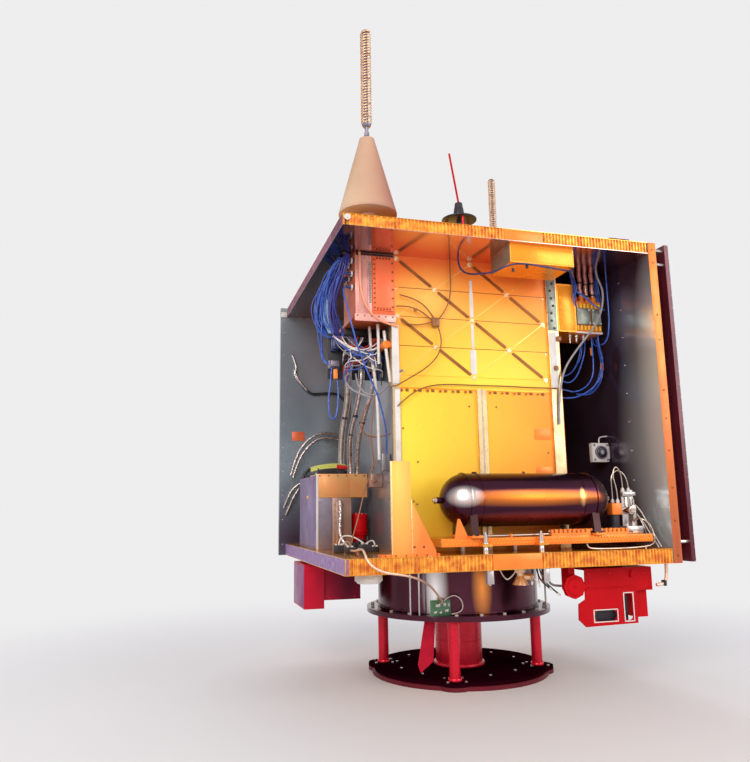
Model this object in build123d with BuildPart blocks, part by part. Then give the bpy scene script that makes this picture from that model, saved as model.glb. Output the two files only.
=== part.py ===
from build123d import *
import math
import os

os.makedirs("parts", exist_ok=True)

# A small satellite on its integration stand, front and left side panels off, in mm.
# X runs right along the open front, Y runs to the back, Z is up.
# The origin is under the middle of the stand, on the bench top.

# Driving sizes
BODY_W = 1000.0          # cube width, left edge to right edge
BODY_D = 1000.0          # cube depth, front edge to back face
BODY_H = 970.0           # underside of the bottom panel to the top face
DECK_Z = 355.0           # underside of the bottom panel above the bench
BOTTOM_T = 42.0          # thickness of the bottom honeycomb panel
TOP_T = 36.0             # thickness of the top honeycomb panel
SIDE_T = 28.0            # thickness of the right side panel
BACK_T = 20.0            # thickness of the back panel
SKIN_T = 1.5             # face sheet of a honeycomb panel
CELL_PITCH = 16.0        # width of one core cell at a panel's edge
CELL_DEPTH = 4.0         # depth of the open cells at a panel's edge
TOWER_W = 554.0          # module tower, left face to right face
TOWER_D = 560.0          # module tower, front face to back face
TOWER_SETBACK = 200.0    # front edge of the body to the tower's face
TOWER_SHIFT = -15.0      # middle of the tower from the middle of the body
STAND_ANGLE = 65.0       # direction of the first stand post, degrees from X

# Levels and planes that follow
X_L = -BODY_W / 2
X_R = BODY_W / 2
Y_F = -BODY_D / 2
Y_B = BODY_D / 2
FLOOR_Z = DECK_Z + BOTTOM_T
TOP_Z = DECK_Z + BODY_H
CEIL_Z = TOP_Z - TOP_T
WALL_X = X_R - SIDE_T
WALL_Y = Y_B - BACK_T
TOWER_XL = TOWER_SHIFT - TOWER_W / 2
TOWER_XR = TOWER_SHIFT + TOWER_W / 2
TOWER_YF = Y_F + TOWER_SETBACK
TOWER_YB = TOWER_YF + TOWER_D


def block(x0, x1, y0, y1, z0, z1, mode=Mode.ADD):
    """Add a box between two corners to the open part."""
    with Locations(((x0 + x1) / 2, (y0 + y1) / 2, (z0 + z1) / 2)):
        Box(x1 - x0, y1 - y0, z1 - z0, mode=mode)


def upright(x, y, z0, z1, radius, mode=Mode.ADD):
    """Add an upright cylinder to the open part."""
    with Locations((x, y, (z0 + z1) / 2)):
        Cylinder(radius, z1 - z0, mode=mode)


def along_x(x0, x1, y, z, radius, mode=Mode.ADD):
    """Add a cylinder that lies along X to the open part."""
    with Locations(Location(((x0 + x1) / 2, y, z), (0, 90, 0))):
        Cylinder(radius, x1 - x0, mode=mode)


def along_y(x, y0, y1, z, radius, mode=Mode.ADD):
    """Add a cylinder that lies along Y to the open part."""
    with Locations(Location((x, (y0 + y1) / 2, z), (90, 0, 0))):
        Cylinder(radius, y1 - y0, mode=mode)


def prism(plane, points, radius, sides, length):
    """Add many-sided pins to the open part, at points of a plane and along its normal."""
    with BuildSketch(plane) as pins:
        with Locations(*points):
            RegularPolygon(radius, sides)
    extrude(pins.sketch, amount=length)


def ring_of(radius, count, first_angle):
    """Points on a circle round the stand's axis."""
    points = []
    for i in range(count):
        a = math.radians(first_angle + 360.0 * i / count)
        points.append((radius * math.cos(a), radius * math.sin(a)))
    return points


def bend_radii(points):
    """Largest bend radius that the runs on both sides of each corner leave room for."""
    corners = [Vector(*p) for p in points]
    radii = []
    for before, here, after in zip(corners, corners[1:], corners[2:]):
        turn = (here - before).get_angle(after - here)
        shorter = min((here - before).length, (after - here).length)
        radii.append(0.45 * shorter / math.tan(math.radians(turn) / 2))
    return radii


def cable(route, radius, sides=6):
    """Add a many-sided cable to the open part: straight runs joined by tangent arcs.

    The route's heights are above the deck's underside.
    """
    points = [(x, y, DECK_Z + h) for x, y, h in route]
    with BuildLine() as path:
        FilletPolyline(*points, radius=bend_radii(points))
    first_run = Vector(*points[1]) - Vector(*points[0])
    with BuildSketch(Plane(origin=points[0], z_dir=first_run)) as section:
        RegularPolygon(radius, sides)
    sweep(section.sketch, path=path.line)


def core_outline(width, depth):
    """Corner points of a honeycomb core whose front and left edges show open cells."""
    points = []
    cells = int(width // CELL_PITCH)
    step = width / cells
    for i in range(cells):
        points.append((X_L + i * step, Y_F))
        points.append((X_L + (i + 0.5) * step, Y_F + CELL_DEPTH))
    points.append((X_L + width, Y_F))
    points.append((X_L + width, Y_F + depth))
    cells = int(depth // CELL_PITCH)
    step = depth / cells
    for i in range(cells, 1, -1):
        points.append((X_L, Y_F + i * step))
        points.append((X_L + CELL_DEPTH, Y_F + (i - 0.5) * step))
    points.append((X_L, Y_F + step))
    return points


# Stand
RING_R = 262.0
RING_WALL = 10.0
FLANGE_LIP = 38.0
FLANGE_BORE = 36.0
FLANGE_R = RING_R + FLANGE_LIP
FLANGE_BORE_R = RING_R - FLANGE_BORE
FLANGE_Z0 = 193.0
FLANGE_T = 15.0
FLANGE_TOP = FLANGE_Z0 + FLANGE_T
POST_PCD_R = RING_R - 12.0
POST_R = 17.0
PAD_R = 50.0
DISC_R = POST_PCD_R + 35.0
DISC_T = 12.0
PLATE_T = 10.0
PLATE_TOP = DISC_T + PLATE_T
BENCH_BOLT_R = POST_PCD_R + 15.0
BENCH_HOLE_R = 5.5
post_points = ring_of(POST_PCD_R, 4, STAND_ANGLE)
bench_points = ring_of(BENCH_BOLT_R, 4, STAND_ANGLE + 45.0)

with BuildPart() as stand_disc:
    upright(0, 0, 0, DISC_T, DISC_R)
    for x, y in post_points:
        upright(x, y, 0, DISC_T, PAD_R)
    for x, y in bench_points:
        upright(x, y, -1, DISC_T + 1, BENCH_HOLE_R, Mode.SUBTRACT)
stand_disc.part.label = "stand_disc"
export_step(stand_disc.part, "parts/stand_disc.step")

PLATE_INSET = 8.0
with BuildPart() as stand_plate:
    upright(0, 0, DISC_T, PLATE_TOP, DISC_R - PLATE_INSET)
    for x, y in post_points:
        upright(x, y, DISC_T, PLATE_TOP, PAD_R)
    for x, y in bench_points:
        upright(x, y, DISC_T - 1, PLATE_TOP + 1, BENCH_HOLE_R, Mode.SUBTRACT)
stand_plate.part.label = "stand_plate"
export_step(stand_plate.part, "parts/stand_plate.step")

with BuildPart() as stand_posts:
    for x, y in post_points:
        upright(x, y, PLATE_TOP, FLANGE_Z0, POST_R)
stand_posts.part.label = "stand_posts"
export_step(stand_posts.part, "parts/stand_posts.step")

COLUMN_R = 76.0
COLUMN_SEAM_Z = 100.0
SEAM_W = 4.0
COLUMN_NECK_R = 56.0
COLUMN_NECK_H = 20.0
with BuildPart() as stand_column:
    upright(0, 0, PLATE_TOP, COLUMN_SEAM_Z, COLUMN_R)
    upright(0, 0, COLUMN_SEAM_Z, COLUMN_SEAM_Z + SEAM_W, COLUMN_R - SEAM_W)
    upright(0, 0, COLUMN_SEAM_Z + SEAM_W, DECK_Z - COLUMN_NECK_H, COLUMN_R)
    upright(0, 0, DECK_Z - COLUMN_NECK_H, DECK_Z, COLUMN_NECK_R)
stand_column.part.label = "stand_column"
export_step(stand_column.part, "parts/stand_column.step")

# Warning streamer that hangs from the flange
TAG_X = -170.0
TAG_Y = -185.0
TAG_W = 44.0
TAG_T = 3.0
TAG_FOOT_Z = 42.0
TAG_LEAN = 28.0
with BuildPart() as red_tag:
    with BuildSketch(Plane.XZ.offset(-TAG_Y)) as tag_outline:
        with BuildLine():
            Polyline(
                (TAG_X - TAG_W / 4, FLANGE_Z0),
                (TAG_X + TAG_W / 2, FLANGE_Z0),
                (TAG_X + TAG_W / 2 - TAG_LEAN / 3, TAG_FOOT_Z + 30),
                (TAG_X - TAG_LEAN, TAG_FOOT_Z),
                (TAG_X - TAG_W / 2 - TAG_LEAN / 2, TAG_FOOT_Z + 22),
                close=True,
            )
        make_face()
    extrude(amount=TAG_T)
red_tag.part.label = "red_tag"
export_step(red_tag.part, "parts/red_tag.step")

# Separation ring between stand and body
RING_LIP = 14.0
RING_LIP_T = 12.0
with BuildPart() as separation_ring:
    upright(0, 0, FLANGE_Z0, FLANGE_TOP, FLANGE_R)
    upright(0, 0, FLANGE_TOP, DECK_Z - RING_LIP_T, RING_R)
    upright(0, 0, DECK_Z - RING_LIP_T, DECK_Z, RING_R + RING_LIP)
    upright(0, 0, FLANGE_TOP, DECK_Z + 1, RING_R - RING_WALL, Mode.SUBTRACT)
    upright(0, 0, FLANGE_Z0 - 1, FLANGE_TOP + 1, FLANGE_BORE_R, Mode.SUBTRACT)
separation_ring.part.label = "separation_ring"
export_step(separation_ring.part, "parts/separation_ring.step")

# Thin rods between the flange and the deck: x, y
ROD_R = 3.0
ROD_OUT = 18.0
rod_angles = (-141.0, -135.0, -30.0)
with BuildPart() as ring_rods:
    for angle in rod_angles:
        (rod_point,) = ring_of(RING_R + ROD_OUT + RING_LIP / 2, 1, angle)
        upright(rod_point[0], rod_point[1], FLANGE_TOP, DECK_Z, ROD_R)
ring_rods.part.label = "ring_rods"
export_step(ring_rods.part, "parts/ring_rods.step")

# Body panels
PANEL_W = WALL_X - X_L
PANEL_D = WALL_Y - Y_F
with BuildPart() as bottom_panel:
    block(X_L, WALL_X, Y_F, WALL_Y, DECK_Z, DECK_Z + SKIN_T)
    block(X_L, WALL_X, Y_F, WALL_Y, FLOOR_Z - SKIN_T, FLOOR_Z)
bottom_panel.part.label = "bottom_panel"
export_step(bottom_panel.part, "parts/bottom_panel.step")

# Plain edge blocks in the cores: left end, right end
BOTTOM_INSERT = (-94.0, 52.0)
TOP_INSERT = (-16.0, 108.0)
with BuildPart() as bottom_core:
    with BuildSketch(Plane.XY.offset(DECK_Z + SKIN_T)) as bottom_cells:
        Polygon(*core_outline(PANEL_W, PANEL_D), align=None)
    extrude(amount=BOTTOM_T - 2 * SKIN_T)
    block(*BOTTOM_INSERT, Y_F, Y_F + CELL_DEPTH, DECK_Z + SKIN_T, FLOOR_Z - SKIN_T)
bottom_core.part.label = "bottom_core"
export_step(bottom_core.part, "parts/bottom_core.step")

with BuildPart() as top_panel:
    block(X_L, WALL_X, Y_F, WALL_Y, CEIL_Z, CEIL_Z + SKIN_T)
    block(X_L, WALL_X, Y_F, WALL_Y, TOP_Z - SKIN_T, TOP_Z)
top_panel.part.label = "top_panel"
export_step(top_panel.part, "parts/top_panel.step")

with BuildPart() as top_core:
    with BuildSketch(Plane.XY.offset(CEIL_Z + SKIN_T)) as top_cells:
        Polygon(*core_outline(PANEL_W, PANEL_D), align=None)
    extrude(amount=TOP_T - 2 * SKIN_T)
    block(*TOP_INSERT, Y_F, Y_F + CELL_DEPTH, CEIL_Z + SKIN_T, TOP_Z - SKIN_T)
top_core.part.label = "top_core"
export_step(top_core.part, "parts/top_core.step")

BACK_OVERHANG = 25.0
with BuildPart() as back_panel:
    block(X_L - BACK_OVERHANG, X_R, WALL_Y, Y_B, DECK_Z, TOP_Z)
back_panel.part.label = "back_panel"
export_step(back_panel.part, "parts/back_panel.step")

with BuildPart() as right_panel:
    block(WALL_X, X_R, Y_F, WALL_Y, DECK_Z, TOP_Z)
right_panel.part.label = "right_panel"
export_step(right_panel.part, "parts/right_panel.step")

SOLAR_GAP = 32.0
SOLAR_T = 14.0
SOLAR_INSET = 3.0
with BuildPart() as solar_panel:
    block(X_R + SOLAR_GAP, X_R + SOLAR_GAP + SOLAR_T, Y_F, Y_B, DECK_Z + SOLAR_INSET, TOP_Z - SOLAR_INSET)
solar_panel.part.label = "solar_panel"
export_step(solar_panel.part, "parts/solar_panel.step")

# Spacers that carry the solar panel: y, z
SPACER_R = 5.0
SPACER_EDGE = 12.0
SPACER_TOP = 20.0
SPACER_SECOND = 65.0
SPACER_FOOT = 60.0
solar_spacers = [
    (Y_F + SPACER_EDGE, TOP_Z - SPACER_TOP),
    (Y_F + SPACER_EDGE, TOP_Z - SPACER_SECOND),
    (Y_F + SPACER_EDGE, DECK_Z + SPACER_FOOT),
    (Y_B - SPACER_EDGE, TOP_Z - SPACER_TOP),
    (Y_B - SPACER_EDGE, DECK_Z + SPACER_FOOT),
    (0.0, TOP_Z - SPACER_TOP),
    (0.0, DECK_Z + SPACER_FOOT),
]
with BuildPart() as solar_standoffs:
    prism(Plane.YZ.offset(X_R), solar_spacers, SPACER_R, 8, SOLAR_GAP)
solar_standoffs.part.label = "solar_standoffs"
export_step(solar_standoffs.part, "parts/solar_standoffs.step")

# Central module tower, its upper trays hung from the ceiling's level
TOP_TRAY_H = 101.0
TRAY_H = 91.0
SEAM_TRAY_H = 37.0
TRAY_GROOVE = 2.0
tray_joints = [CEIL_Z, CEIL_Z - TOP_TRAY_H]
for i in range(3):
    tray_joints.append(tray_joints[-1] - TRAY_H)
TOWER_SEAM = tray_joints[-1] - SEAM_TRAY_H
tray_joints.append(TOWER_SEAM)
with BuildPart() as tower_lower:
    block(TOWER_XL, TOWER_XR, TOWER_YF, TOWER_YB, FLOOR_Z, TOWER_SEAM)
tower_lower.part.label = "tower_lower"
export_step(tower_lower.part, "parts/tower_lower.step")

with BuildPart() as tower_trays:
    block(TOWER_XL, TOWER_XR, TOWER_YF, TOWER_YB, TOWER_SEAM, CEIL_Z)
    for z in tray_joints[1:-1]:
        block(TOWER_XL, TOWER_XR, TOWER_YF - 1, TOWER_YF + TRAY_GROOVE, z - 1, z + 1, Mode.SUBTRACT)
tower_trays.part.label = "tower_trays"
export_step(tower_trays.part, "parts/tower_trays.step")

# Crossed ribs on the front of the trays, from node to node of a five by five lattice
RIB_H = 5.0
FALLING_RIB_W = 8.0
RISING_RIB_W = 3.0
NODE_R = 7.0
RIB_LEFT = TOWER_XL + 7.0
RIGHT_RAIL_X = TOWER_XR - 42.0
RIB_RIGHT = RIGHT_RAIL_X - 15.0
RIB_STEP = (RIB_RIGHT - RIB_LEFT) / 4
RIB_TOP_DROP = 9.0
rib_zs = [CEIL_Z - RIB_TOP_DROP] + tray_joints[1:-1]
rib_xs = [RIB_LEFT + i * RIB_STEP for i in range(5)]
with BuildPart() as tower_ribs:
    with BuildSketch(Plane.XZ.offset(-TOWER_YF)) as rib_face:
        for i in range(4):
            for j in range(4):
                falling = (i + j) % 2 == 0
                z0, z1 = rib_zs[j], rib_zs[j + 1]
                if not falling:
                    z0, z1 = z1, z0
                length = math.hypot(RIB_STEP, z1 - z0)
                tilt = math.degrees(math.atan2(z1 - z0, RIB_STEP))
                with Locations(Location((rib_xs[i] + RIB_STEP / 2, (z0 + z1) / 2), tilt)):
                    Rectangle(length, FALLING_RIB_W if falling else RISING_RIB_W)
        for i in range(5):
            for j in range(i % 2, 5, 2):
                with Locations((rib_xs[i], rib_zs[j])):
                    RegularPolygon(NODE_R, 8)
    extrude(amount=RIB_H)
tower_ribs.part.label = "tower_ribs"
export_step(tower_ribs.part, "parts/tower_ribs.step")

# Upright rails on the tower's face: left edge, width, foot, head
RAIL_T = 8.0
RIGHT_RAIL_W = 36.0
tower_rail_table = [
    (-35.0, 13.0, FLOOR_Z, TOWER_SEAM),
    (-18.0, 13.0, FLOOR_Z, TOWER_SEAM),
    (RIGHT_RAIL_X, RIGHT_RAIL_W, FLOOR_Z, CEIL_Z),
    (TOWER_XL - 14.0, 24.0, FLOOR_Z, TOWER_SEAM),
]
with BuildPart() as tower_rails:
    for x, w, z0, z1 in tower_rail_table:
        block(x, x + w, TOWER_YF - RAIL_T, TOWER_YF, z0, z1)
    block(TOWER_XL - 14, TOWER_XL, TOWER_YF - RAIL_T, TOWER_YF + 20, TOWER_SEAM + 3, CEIL_Z - 217)
tower_rails.part.label = "tower_rails"
export_step(tower_rails.part, "parts/tower_rails.step")

# Radio module left of the tower, with its lid and shelf
RADIO_W = 123.0
RADIO_D = 150.0
RADIO_H = 194.0
RADIO_XL = TOWER_XL - RADIO_W
RADIO_FOOT = CEIL_Z - RADIO_H
LID_T = 6.0
LID_W = 67.0
SHELF_T = 10.0
SHELF_LIP = 5.0
with BuildPart() as radio_module:
    block(RADIO_XL, TOWER_XL, TOWER_YF, TOWER_YF + RADIO_D, RADIO_FOOT, CEIL_Z)
radio_module.part.label = "radio_module"
export_step(radio_module.part, "parts/radio_module.step")

with BuildPart() as radio_lid:
    block(TOWER_XL - 2 - LID_W, TOWER_XL - 2, TOWER_YF - LID_T, TOWER_YF, RADIO_FOOT + 15, CEIL_Z - 44)
    block(TOWER_XL - 2 - LID_W, TOWER_XL - 2, TOWER_YF - LID_T, TOWER_YF, CEIL_Z - 36, CEIL_Z - 6)
radio_lid.part.label = "radio_lid"
export_step(radio_lid.part, "parts/radio_lid.step")

SHELF_D = 210.0
SHELF_YF = TOWER_YF - 10.0
with BuildPart() as left_shelf:
    block(RADIO_XL - SHELF_LIP, TOWER_XL, SHELF_YF, SHELF_YF + SHELF_D, RADIO_FOOT - SHELF_T, RADIO_FOOT)
    block(RADIO_XL - SHELF_LIP, TOWER_XL, SHELF_YF, SHELF_YF + 3, RADIO_FOOT - SHELF_T - 12, RADIO_FOOT - SHELF_T)
left_shelf.part.label = "left_shelf"
export_step(left_shelf.part, "parts/left_shelf.step")

# Panel of plugs under the shelf: plug middle from the panel's left edge, middle below the shelf, width, height
PLUG_PANEL_Y = TOWER_YF + 130.0
PLUG_PANEL_T = 8.0
PLUG_PANEL_H = 165.0
PLUG_D = 34.0
SHELF_FOOT = RADIO_FOOT - SHELF_T
PANEL_XL = RADIO_XL - 50.0
plug_table = [
    (13.0, 60.0, 24.0, 40.0),
    (41.0, 60.0, 24.0, 40.0),
    (69.0, 52.0, 26.0, 30.0),
    (103.0, 46.0, 34.0, 22.0),
    (140.0, 50.0, 26.0, 34.0),
    (9.0, 122.0, 34.0, 26.0),
    (53.0, 126.0, 30.0, 24.0),
    (95.0, 118.0, 34.0, 36.0),
    (135.0, 128.0, 26.0, 26.0),
]
with BuildPart() as harness_panel:
    block(PANEL_XL, TOWER_XL, PLUG_PANEL_Y, PLUG_PANEL_Y + PLUG_PANEL_T, SHELF_FOOT - PLUG_PANEL_H, SHELF_FOOT - 20)
    block(RADIO_XL, TOWER_XL, PLUG_PANEL_Y, PLUG_PANEL_Y + PLUG_PANEL_T, SHELF_FOOT - 20, SHELF_FOOT)
    for along, drop, w, h in plug_table:
        x = PANEL_XL + along
        z = SHELF_FOOT - drop
        block(x - w / 2, x + w / 2, PLUG_PANEL_Y - PLUG_D, PLUG_PANEL_Y, z - h / 2, z + h / 2)
harness_panel.part.label = "harness_panel"
export_step(harness_panel.part, "parts/harness_panel.step")

# Metal plugs on the left face of the radio module: y behind the tower's face, z below the ceiling
COAX_PLUG_R = 7.0
COAX_PLUG_L = 22.0
left_plug_table = [(22.0, 20.0), (58.0, 24.0), (94.0, 20.0), (22.0, 62.0), (58.0, 66.0), (94.0, 62.0), (22.0, 104.0)]
# Metal plugs on the right face of the tower: y behind the tower's face, z above the deck
right_plug_table = [(66.0, 516.0), (72.0, 546.0), (78.0, 576.0)]
with BuildPart() as coax_plugs:
    left_plugs = [(TOWER_YF + y, CEIL_Z - drop) for y, drop in left_plug_table]
    prism(Plane.YZ.offset(RADIO_XL - COAX_PLUG_L), left_plugs, COAX_PLUG_R, 6, COAX_PLUG_L)
    right_plugs = [(TOWER_YF + y, DECK_Z + h) for y, h in right_plug_table]
    prism(Plane.YZ.offset(TOWER_XR), right_plugs, COAX_PLUG_R, 6, COAX_PLUG_L)
coax_plugs.part.label = "coax_plugs"
export_step(coax_plugs.part, "parts/coax_plugs.step")

# Blue coaxial leads from the radio module's plugs to the plug panel
COAX_R = 3.0
left_coax_routes = [
    [(-437, -278, 914), (-466, -278, 914), (-480, -240, 880), (-486, -200, 800), (-484, -188, 740), (-460, -187, 722),
     (-458, -187, 710), (-458, -187, 690)],
    [(-437, -242, 910), (-468, -242, 910), (-484, -205, 870), (-492, -150, 800), (-488, -170, 730), (-450, -190, 724),
     (-448, -190, 710), (-448, -190, 690)],
    [(-437, -206, 914), (-468, -206, 914), (-486, -160, 890), (-495, -100, 820), (-494, -110, 730), (-490, -150, 660),
     (-492, -187, 608), (-473, -187, 608)],
    [(-437, -278, 872), (-458, -278, 872), (-466, -262, 830), (-468, -240, 770), (-438, -200, 734), (-430, -187, 712),
     (-430, -187, 690)],
    [(-437, -242, 868), (-462, -242, 868), (-480, -222, 830), (-474, -214, 780), (-440, -190, 742), (-424, -182, 728),
     (-424, -182, 690)],
    [(-437, -206, 872), (-464, -206, 872), (-486, -178, 836), (-484, -140, 740), (-487, -150, 680), (-490, -176, 616),
     (-473, -176, 616)],
    [(-437, -278, 830), (-454, -278, 830), (-446, -300, 766), (-430, -316, 700), (-400, -284, 626),
     (-366, -262, 560), (-338, -250, 508), (-318, -246, 440), (-310, -238, 390), (-310, -228, 360), (-310, -228, 330)],
    [(-464, -187, 595), (-464, -187, 565), (-474, -187, 500), (-466, -187, 446), (-450, -187, 446), (-442, -187, 500),
     (-448, -187, 565), (-448, -187, 595)],
]
with BuildPart() as left_coax:
    for route in left_coax_routes:
        cable(route, COAX_R)
left_coax.part.label = "left_coax"
export_step(left_coax.part, "parts/left_coax.step")

# Foil-wrapped trunks from the plug panel down to the corner unit and the side plate
FOIL_R = 8.0
foil_routes = [
    [(-370, -187, 594), (-370, -187, 550), (-372, -150, 480), (-382, -90, 410), (-372, -40, 340), (-366, -20, 310),
     (-366, -20, 280)],
    [(-330, -187, 589), (-330, -187, 545), (-345, -130, 460), (-350, -70, 390), (-345, -30, 330), (-342, -12, 308),
     (-342, -12, 280)],
    [(-412, -187, 592), (-412, -187, 560), (-402, -140, 500), (-404, -80, 430), (-398, -30, 366), (-396, -12, 338),
     (-396, -12, 310)],
]
with BuildPart() as foil_trunks:
    for route in foil_routes:
        cable(route, FOIL_R, 8)
foil_trunks.part.label = "foil_trunks"
export_step(foil_trunks.part, "parts/foil_trunks.step")

# Boxes at the lower left
CORNER_INSET = 20.0
CORNER_YF = Y_F + 468.0
CORNER_D = 310.0
CORNER_TOP = DECK_Z + 280.0
BRIDGE_H = 76.0
WHEEL_GAP = 78.0
CORNER_XL = X_L + CORNER_INSET
CORNER_XR = TOWER_XL - WHEEL_GAP
BRIDGE_XR = TOWER_XL - 21.0
with BuildPart() as corner_unit:
    block(CORNER_XL, CORNER_XR, CORNER_YF, CORNER_YF + CORNER_D, FLOOR_Z, CORNER_TOP - BRIDGE_H)
    block(CORNER_XL, BRIDGE_XR, CORNER_YF, CORNER_YF + 120, CORNER_TOP - BRIDGE_H, CORNER_TOP)
corner_unit.part.label = "corner_unit"
export_step(corner_unit.part, "parts/corner_unit.step")

# Terminal column on the corner unit's front, with the plugs at its foot
COLUMN_STRIP_W = 62.0
with BuildPart() as terminal_column:
    block(CORNER_XR - COLUMN_STRIP_W, CORNER_XR, CORNER_YF - 14, CORNER_YF, FLOOR_Z, CORNER_TOP - BRIDGE_H)
    block(CORNER_XR - 52, CORNER_XR - 30, CORNER_YF - 24, CORNER_YF - 14, FLOOR_Z + 20, CORNER_TOP - BRIDGE_H - 12)
terminal_column.part.label = "terminal_column"
export_step(terminal_column.part, "parts/terminal_column.step")

# Wheel housing in the gap between corner unit and tower
WHEEL_R = 31.0
WHEEL_CLEAR = 8.0
WHEEL_X = (CORNER_XR + TOWER_XL - WHEEL_CLEAR) / 2
WHEEL_Y = CORNER_YF + 34.0
with BuildPart() as wheel_housing:
    upright(WHEEL_X, WHEEL_Y, FLOOR_Z, FLOOR_Z + 41, WHEEL_R - 8)
    upright(WHEEL_X, WHEEL_Y, FLOOR_Z + 41, FLOOR_Z + 113, WHEEL_R)
wheel_housing.part.label = "wheel_housing"
export_step(wheel_housing.part, "parts/wheel_housing.step")

# Plate on the tower's left face, with the plug block on it
SIDE_PLATE_T = 6.0
SIDE_PLATE_Y0 = TOWER_YF + 60.0
SIDE_PLATE_Y1 = TOWER_YF + 268.0
SIDE_PLATE_TOP = FLOOR_Z + 266.0
with BuildPart() as side_plate:
    block(TOWER_XL - SIDE_PLATE_T, TOWER_XL, SIDE_PLATE_Y0, SIDE_PLATE_Y1, FLOOR_Z, SIDE_PLATE_TOP)
    block(TOWER_XL - 30, TOWER_XL - SIDE_PLATE_T, SIDE_PLATE_Y0, SIDE_PLATE_Y0 + 24, SIDE_PLATE_TOP - 30,
          SIDE_PLATE_TOP + 22)
    block(TOWER_XL - 44, TOWER_XL - SIDE_PLATE_T, TOWER_YF + 140, TOWER_YF + 168, FLOOR_Z + 190, FLOOR_Z + 232)
side_plate.part.label = "side_plate"
export_step(side_plate.part, "parts/side_plate.step")

# Plugs on top of the corner unit and on the deck: x, y, foot z, width, depth, height
deck_plug_table = [
    (CORNER_XL + 34, CORNER_YF + 16, CORNER_TOP, 60.0, 20.0, 18.0),
    (CORNER_XL + 82, CORNER_YF + 22, CORNER_TOP, 28.0, 26.0, 30.0),
    (CORNER_XL + 105, CORNER_YF + 74, CORNER_TOP, 20.0, 20.0, 14.0),
    (CORNER_XL + 26, Y_F + 272, FLOOR_Z, 30.0, 18.0, 22.0),
    (CORNER_XL + 48, Y_F + 224, FLOOR_Z, 26.0, 18.0, 18.0),
    (CORNER_XL + 98, Y_F + 250, FLOOR_Z, 30.0, 20.0, 24.0),
    (CORNER_XL + 132, Y_F + 262, FLOOR_Z, 22.0, 18.0, 16.0),
]
with BuildPart() as deck_plugs:
    for x, y, z, w, d, h in deck_plug_table:
        block(x - w / 2, x + w / 2, y - d / 2, y + d / 2, z, z + h)
deck_plugs.part.label = "deck_plugs"
export_step(deck_plugs.part, "parts/deck_plugs.step")

# Gusset bracket at the front left
GUSSET_Y = Y_F + 22.0
GUSSET_T = 6.0
GUSSET_XL = TOWER_XL - 79.0
GUSSET_XR = GUSSET_XL + 122.0
GUSSET_PLATE_W = 55.0
with BuildPart() as gusset_bracket:
    with BuildSketch(Plane.XZ.offset(-GUSSET_Y)) as gusset_outline:
        with BuildLine():
            Polyline(
                (GUSSET_XL, FLOOR_Z),
                (GUSSET_XL, FLOOR_Z + 248),
                (GUSSET_XL + GUSSET_PLATE_W, FLOOR_Z + 248),
                (GUSSET_XL + GUSSET_PLATE_W, FLOOR_Z + 146),
                (GUSSET_XR, FLOOR_Z + 14),
                (GUSSET_XR, FLOOR_Z),
                close=True,
            )
        make_face()
    extrude(amount=GUSSET_T)
    block(GUSSET_XL - 26, GUSSET_XR + 13, GUSSET_Y, GUSSET_Y + 38, FLOOR_Z, FLOOR_Z + GUSSET_T)
gusset_bracket.part.label = "gusset_bracket"
export_step(gusset_bracket.part, "parts/gusset_bracket.step")

# Boxes at the upper right
CEILING_BOX_H = 58.0
CEILING_BOX_W = 210.0
CEILING_BOX_D = 132.0
with BuildPart() as ceiling_box:
    block(RIGHT_RAIL_X - CEILING_BOX_W, RIGHT_RAIL_X, Y_F + 18, Y_F + 18 + CEILING_BOX_D, CEIL_Z - CEILING_BOX_H, CEIL_Z)
ceiling_box.part.label = "ceiling_box"
export_step(ceiling_box.part, "parts/ceiling_box.step")

MODULE_FOOT = CEIL_Z - 210.0
MODULE_W = 68.0
with BuildPart() as right_module:
    block(TOWER_XR, TOWER_XR + MODULE_W, TOWER_YF, TOWER_YF + 180, MODULE_FOOT, CEIL_Z - 49)
right_module.part.label = "right_module"
export_step(right_module.part, "parts/right_module.step")

BLOCK_XL = TOWER_XR + MODULE_W
BLOCK_W = 100.0
BLOCK_H = 111.0
SOCKET_H = 40.0
with BuildPart() as connector_block:
    block(BLOCK_XL, BLOCK_XL + BLOCK_W, TOWER_YF + 10, TOWER_YF + 150, MODULE_FOOT, MODULE_FOOT + BLOCK_H)
    block(BLOCK_XL + 4, BLOCK_XL + 54, TOWER_YF, TOWER_YF + 10, MODULE_FOOT + 28, MODULE_FOOT + 84)
    block(BLOCK_XL + 60, BLOCK_XL + 94, TOWER_YF, TOWER_YF + 10, MODULE_FOOT + 28, MODULE_FOOT + 84)
connector_block.part.label = "connector_block"
export_step(connector_block.part, "parts/connector_block.step")

# Plugs on top of the connector block and below it: x from its left edge, width
top_plug_table = [(14.0, 18.0), (38.0, 20.0), (62.0, 18.0), (84.0, 18.0)]
WRAP_R = 8.0
with BuildPart() as upper_harness:
    for x, w in top_plug_table:
        x0 = BLOCK_XL + x - w / 2
        block(x0, x0 + w, TOWER_YF + 20, TOWER_YF + 48, MODULE_FOOT + BLOCK_H, MODULE_FOOT + BLOCK_H + SOCKET_H)
    wraps = [(BLOCK_XL + x, TOWER_YF + 34) for x, w in top_plug_table]
    prism(Plane.XY.offset(MODULE_FOOT + BLOCK_H + SOCKET_H), wraps, WRAP_R, 8, CEIL_Z - MODULE_FOOT - BLOCK_H - SOCKET_H)
    for x, w in top_plug_table[:3]:
        x0 = BLOCK_XL + x - w / 2
        block(x0, x0 + w, TOWER_YF + 20, TOWER_YF + 44, MODULE_FOOT - 26, MODULE_FOOT)
upper_harness.part.label = "upper_harness"
export_step(upper_harness.part, "parts/upper_harness.step")

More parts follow.
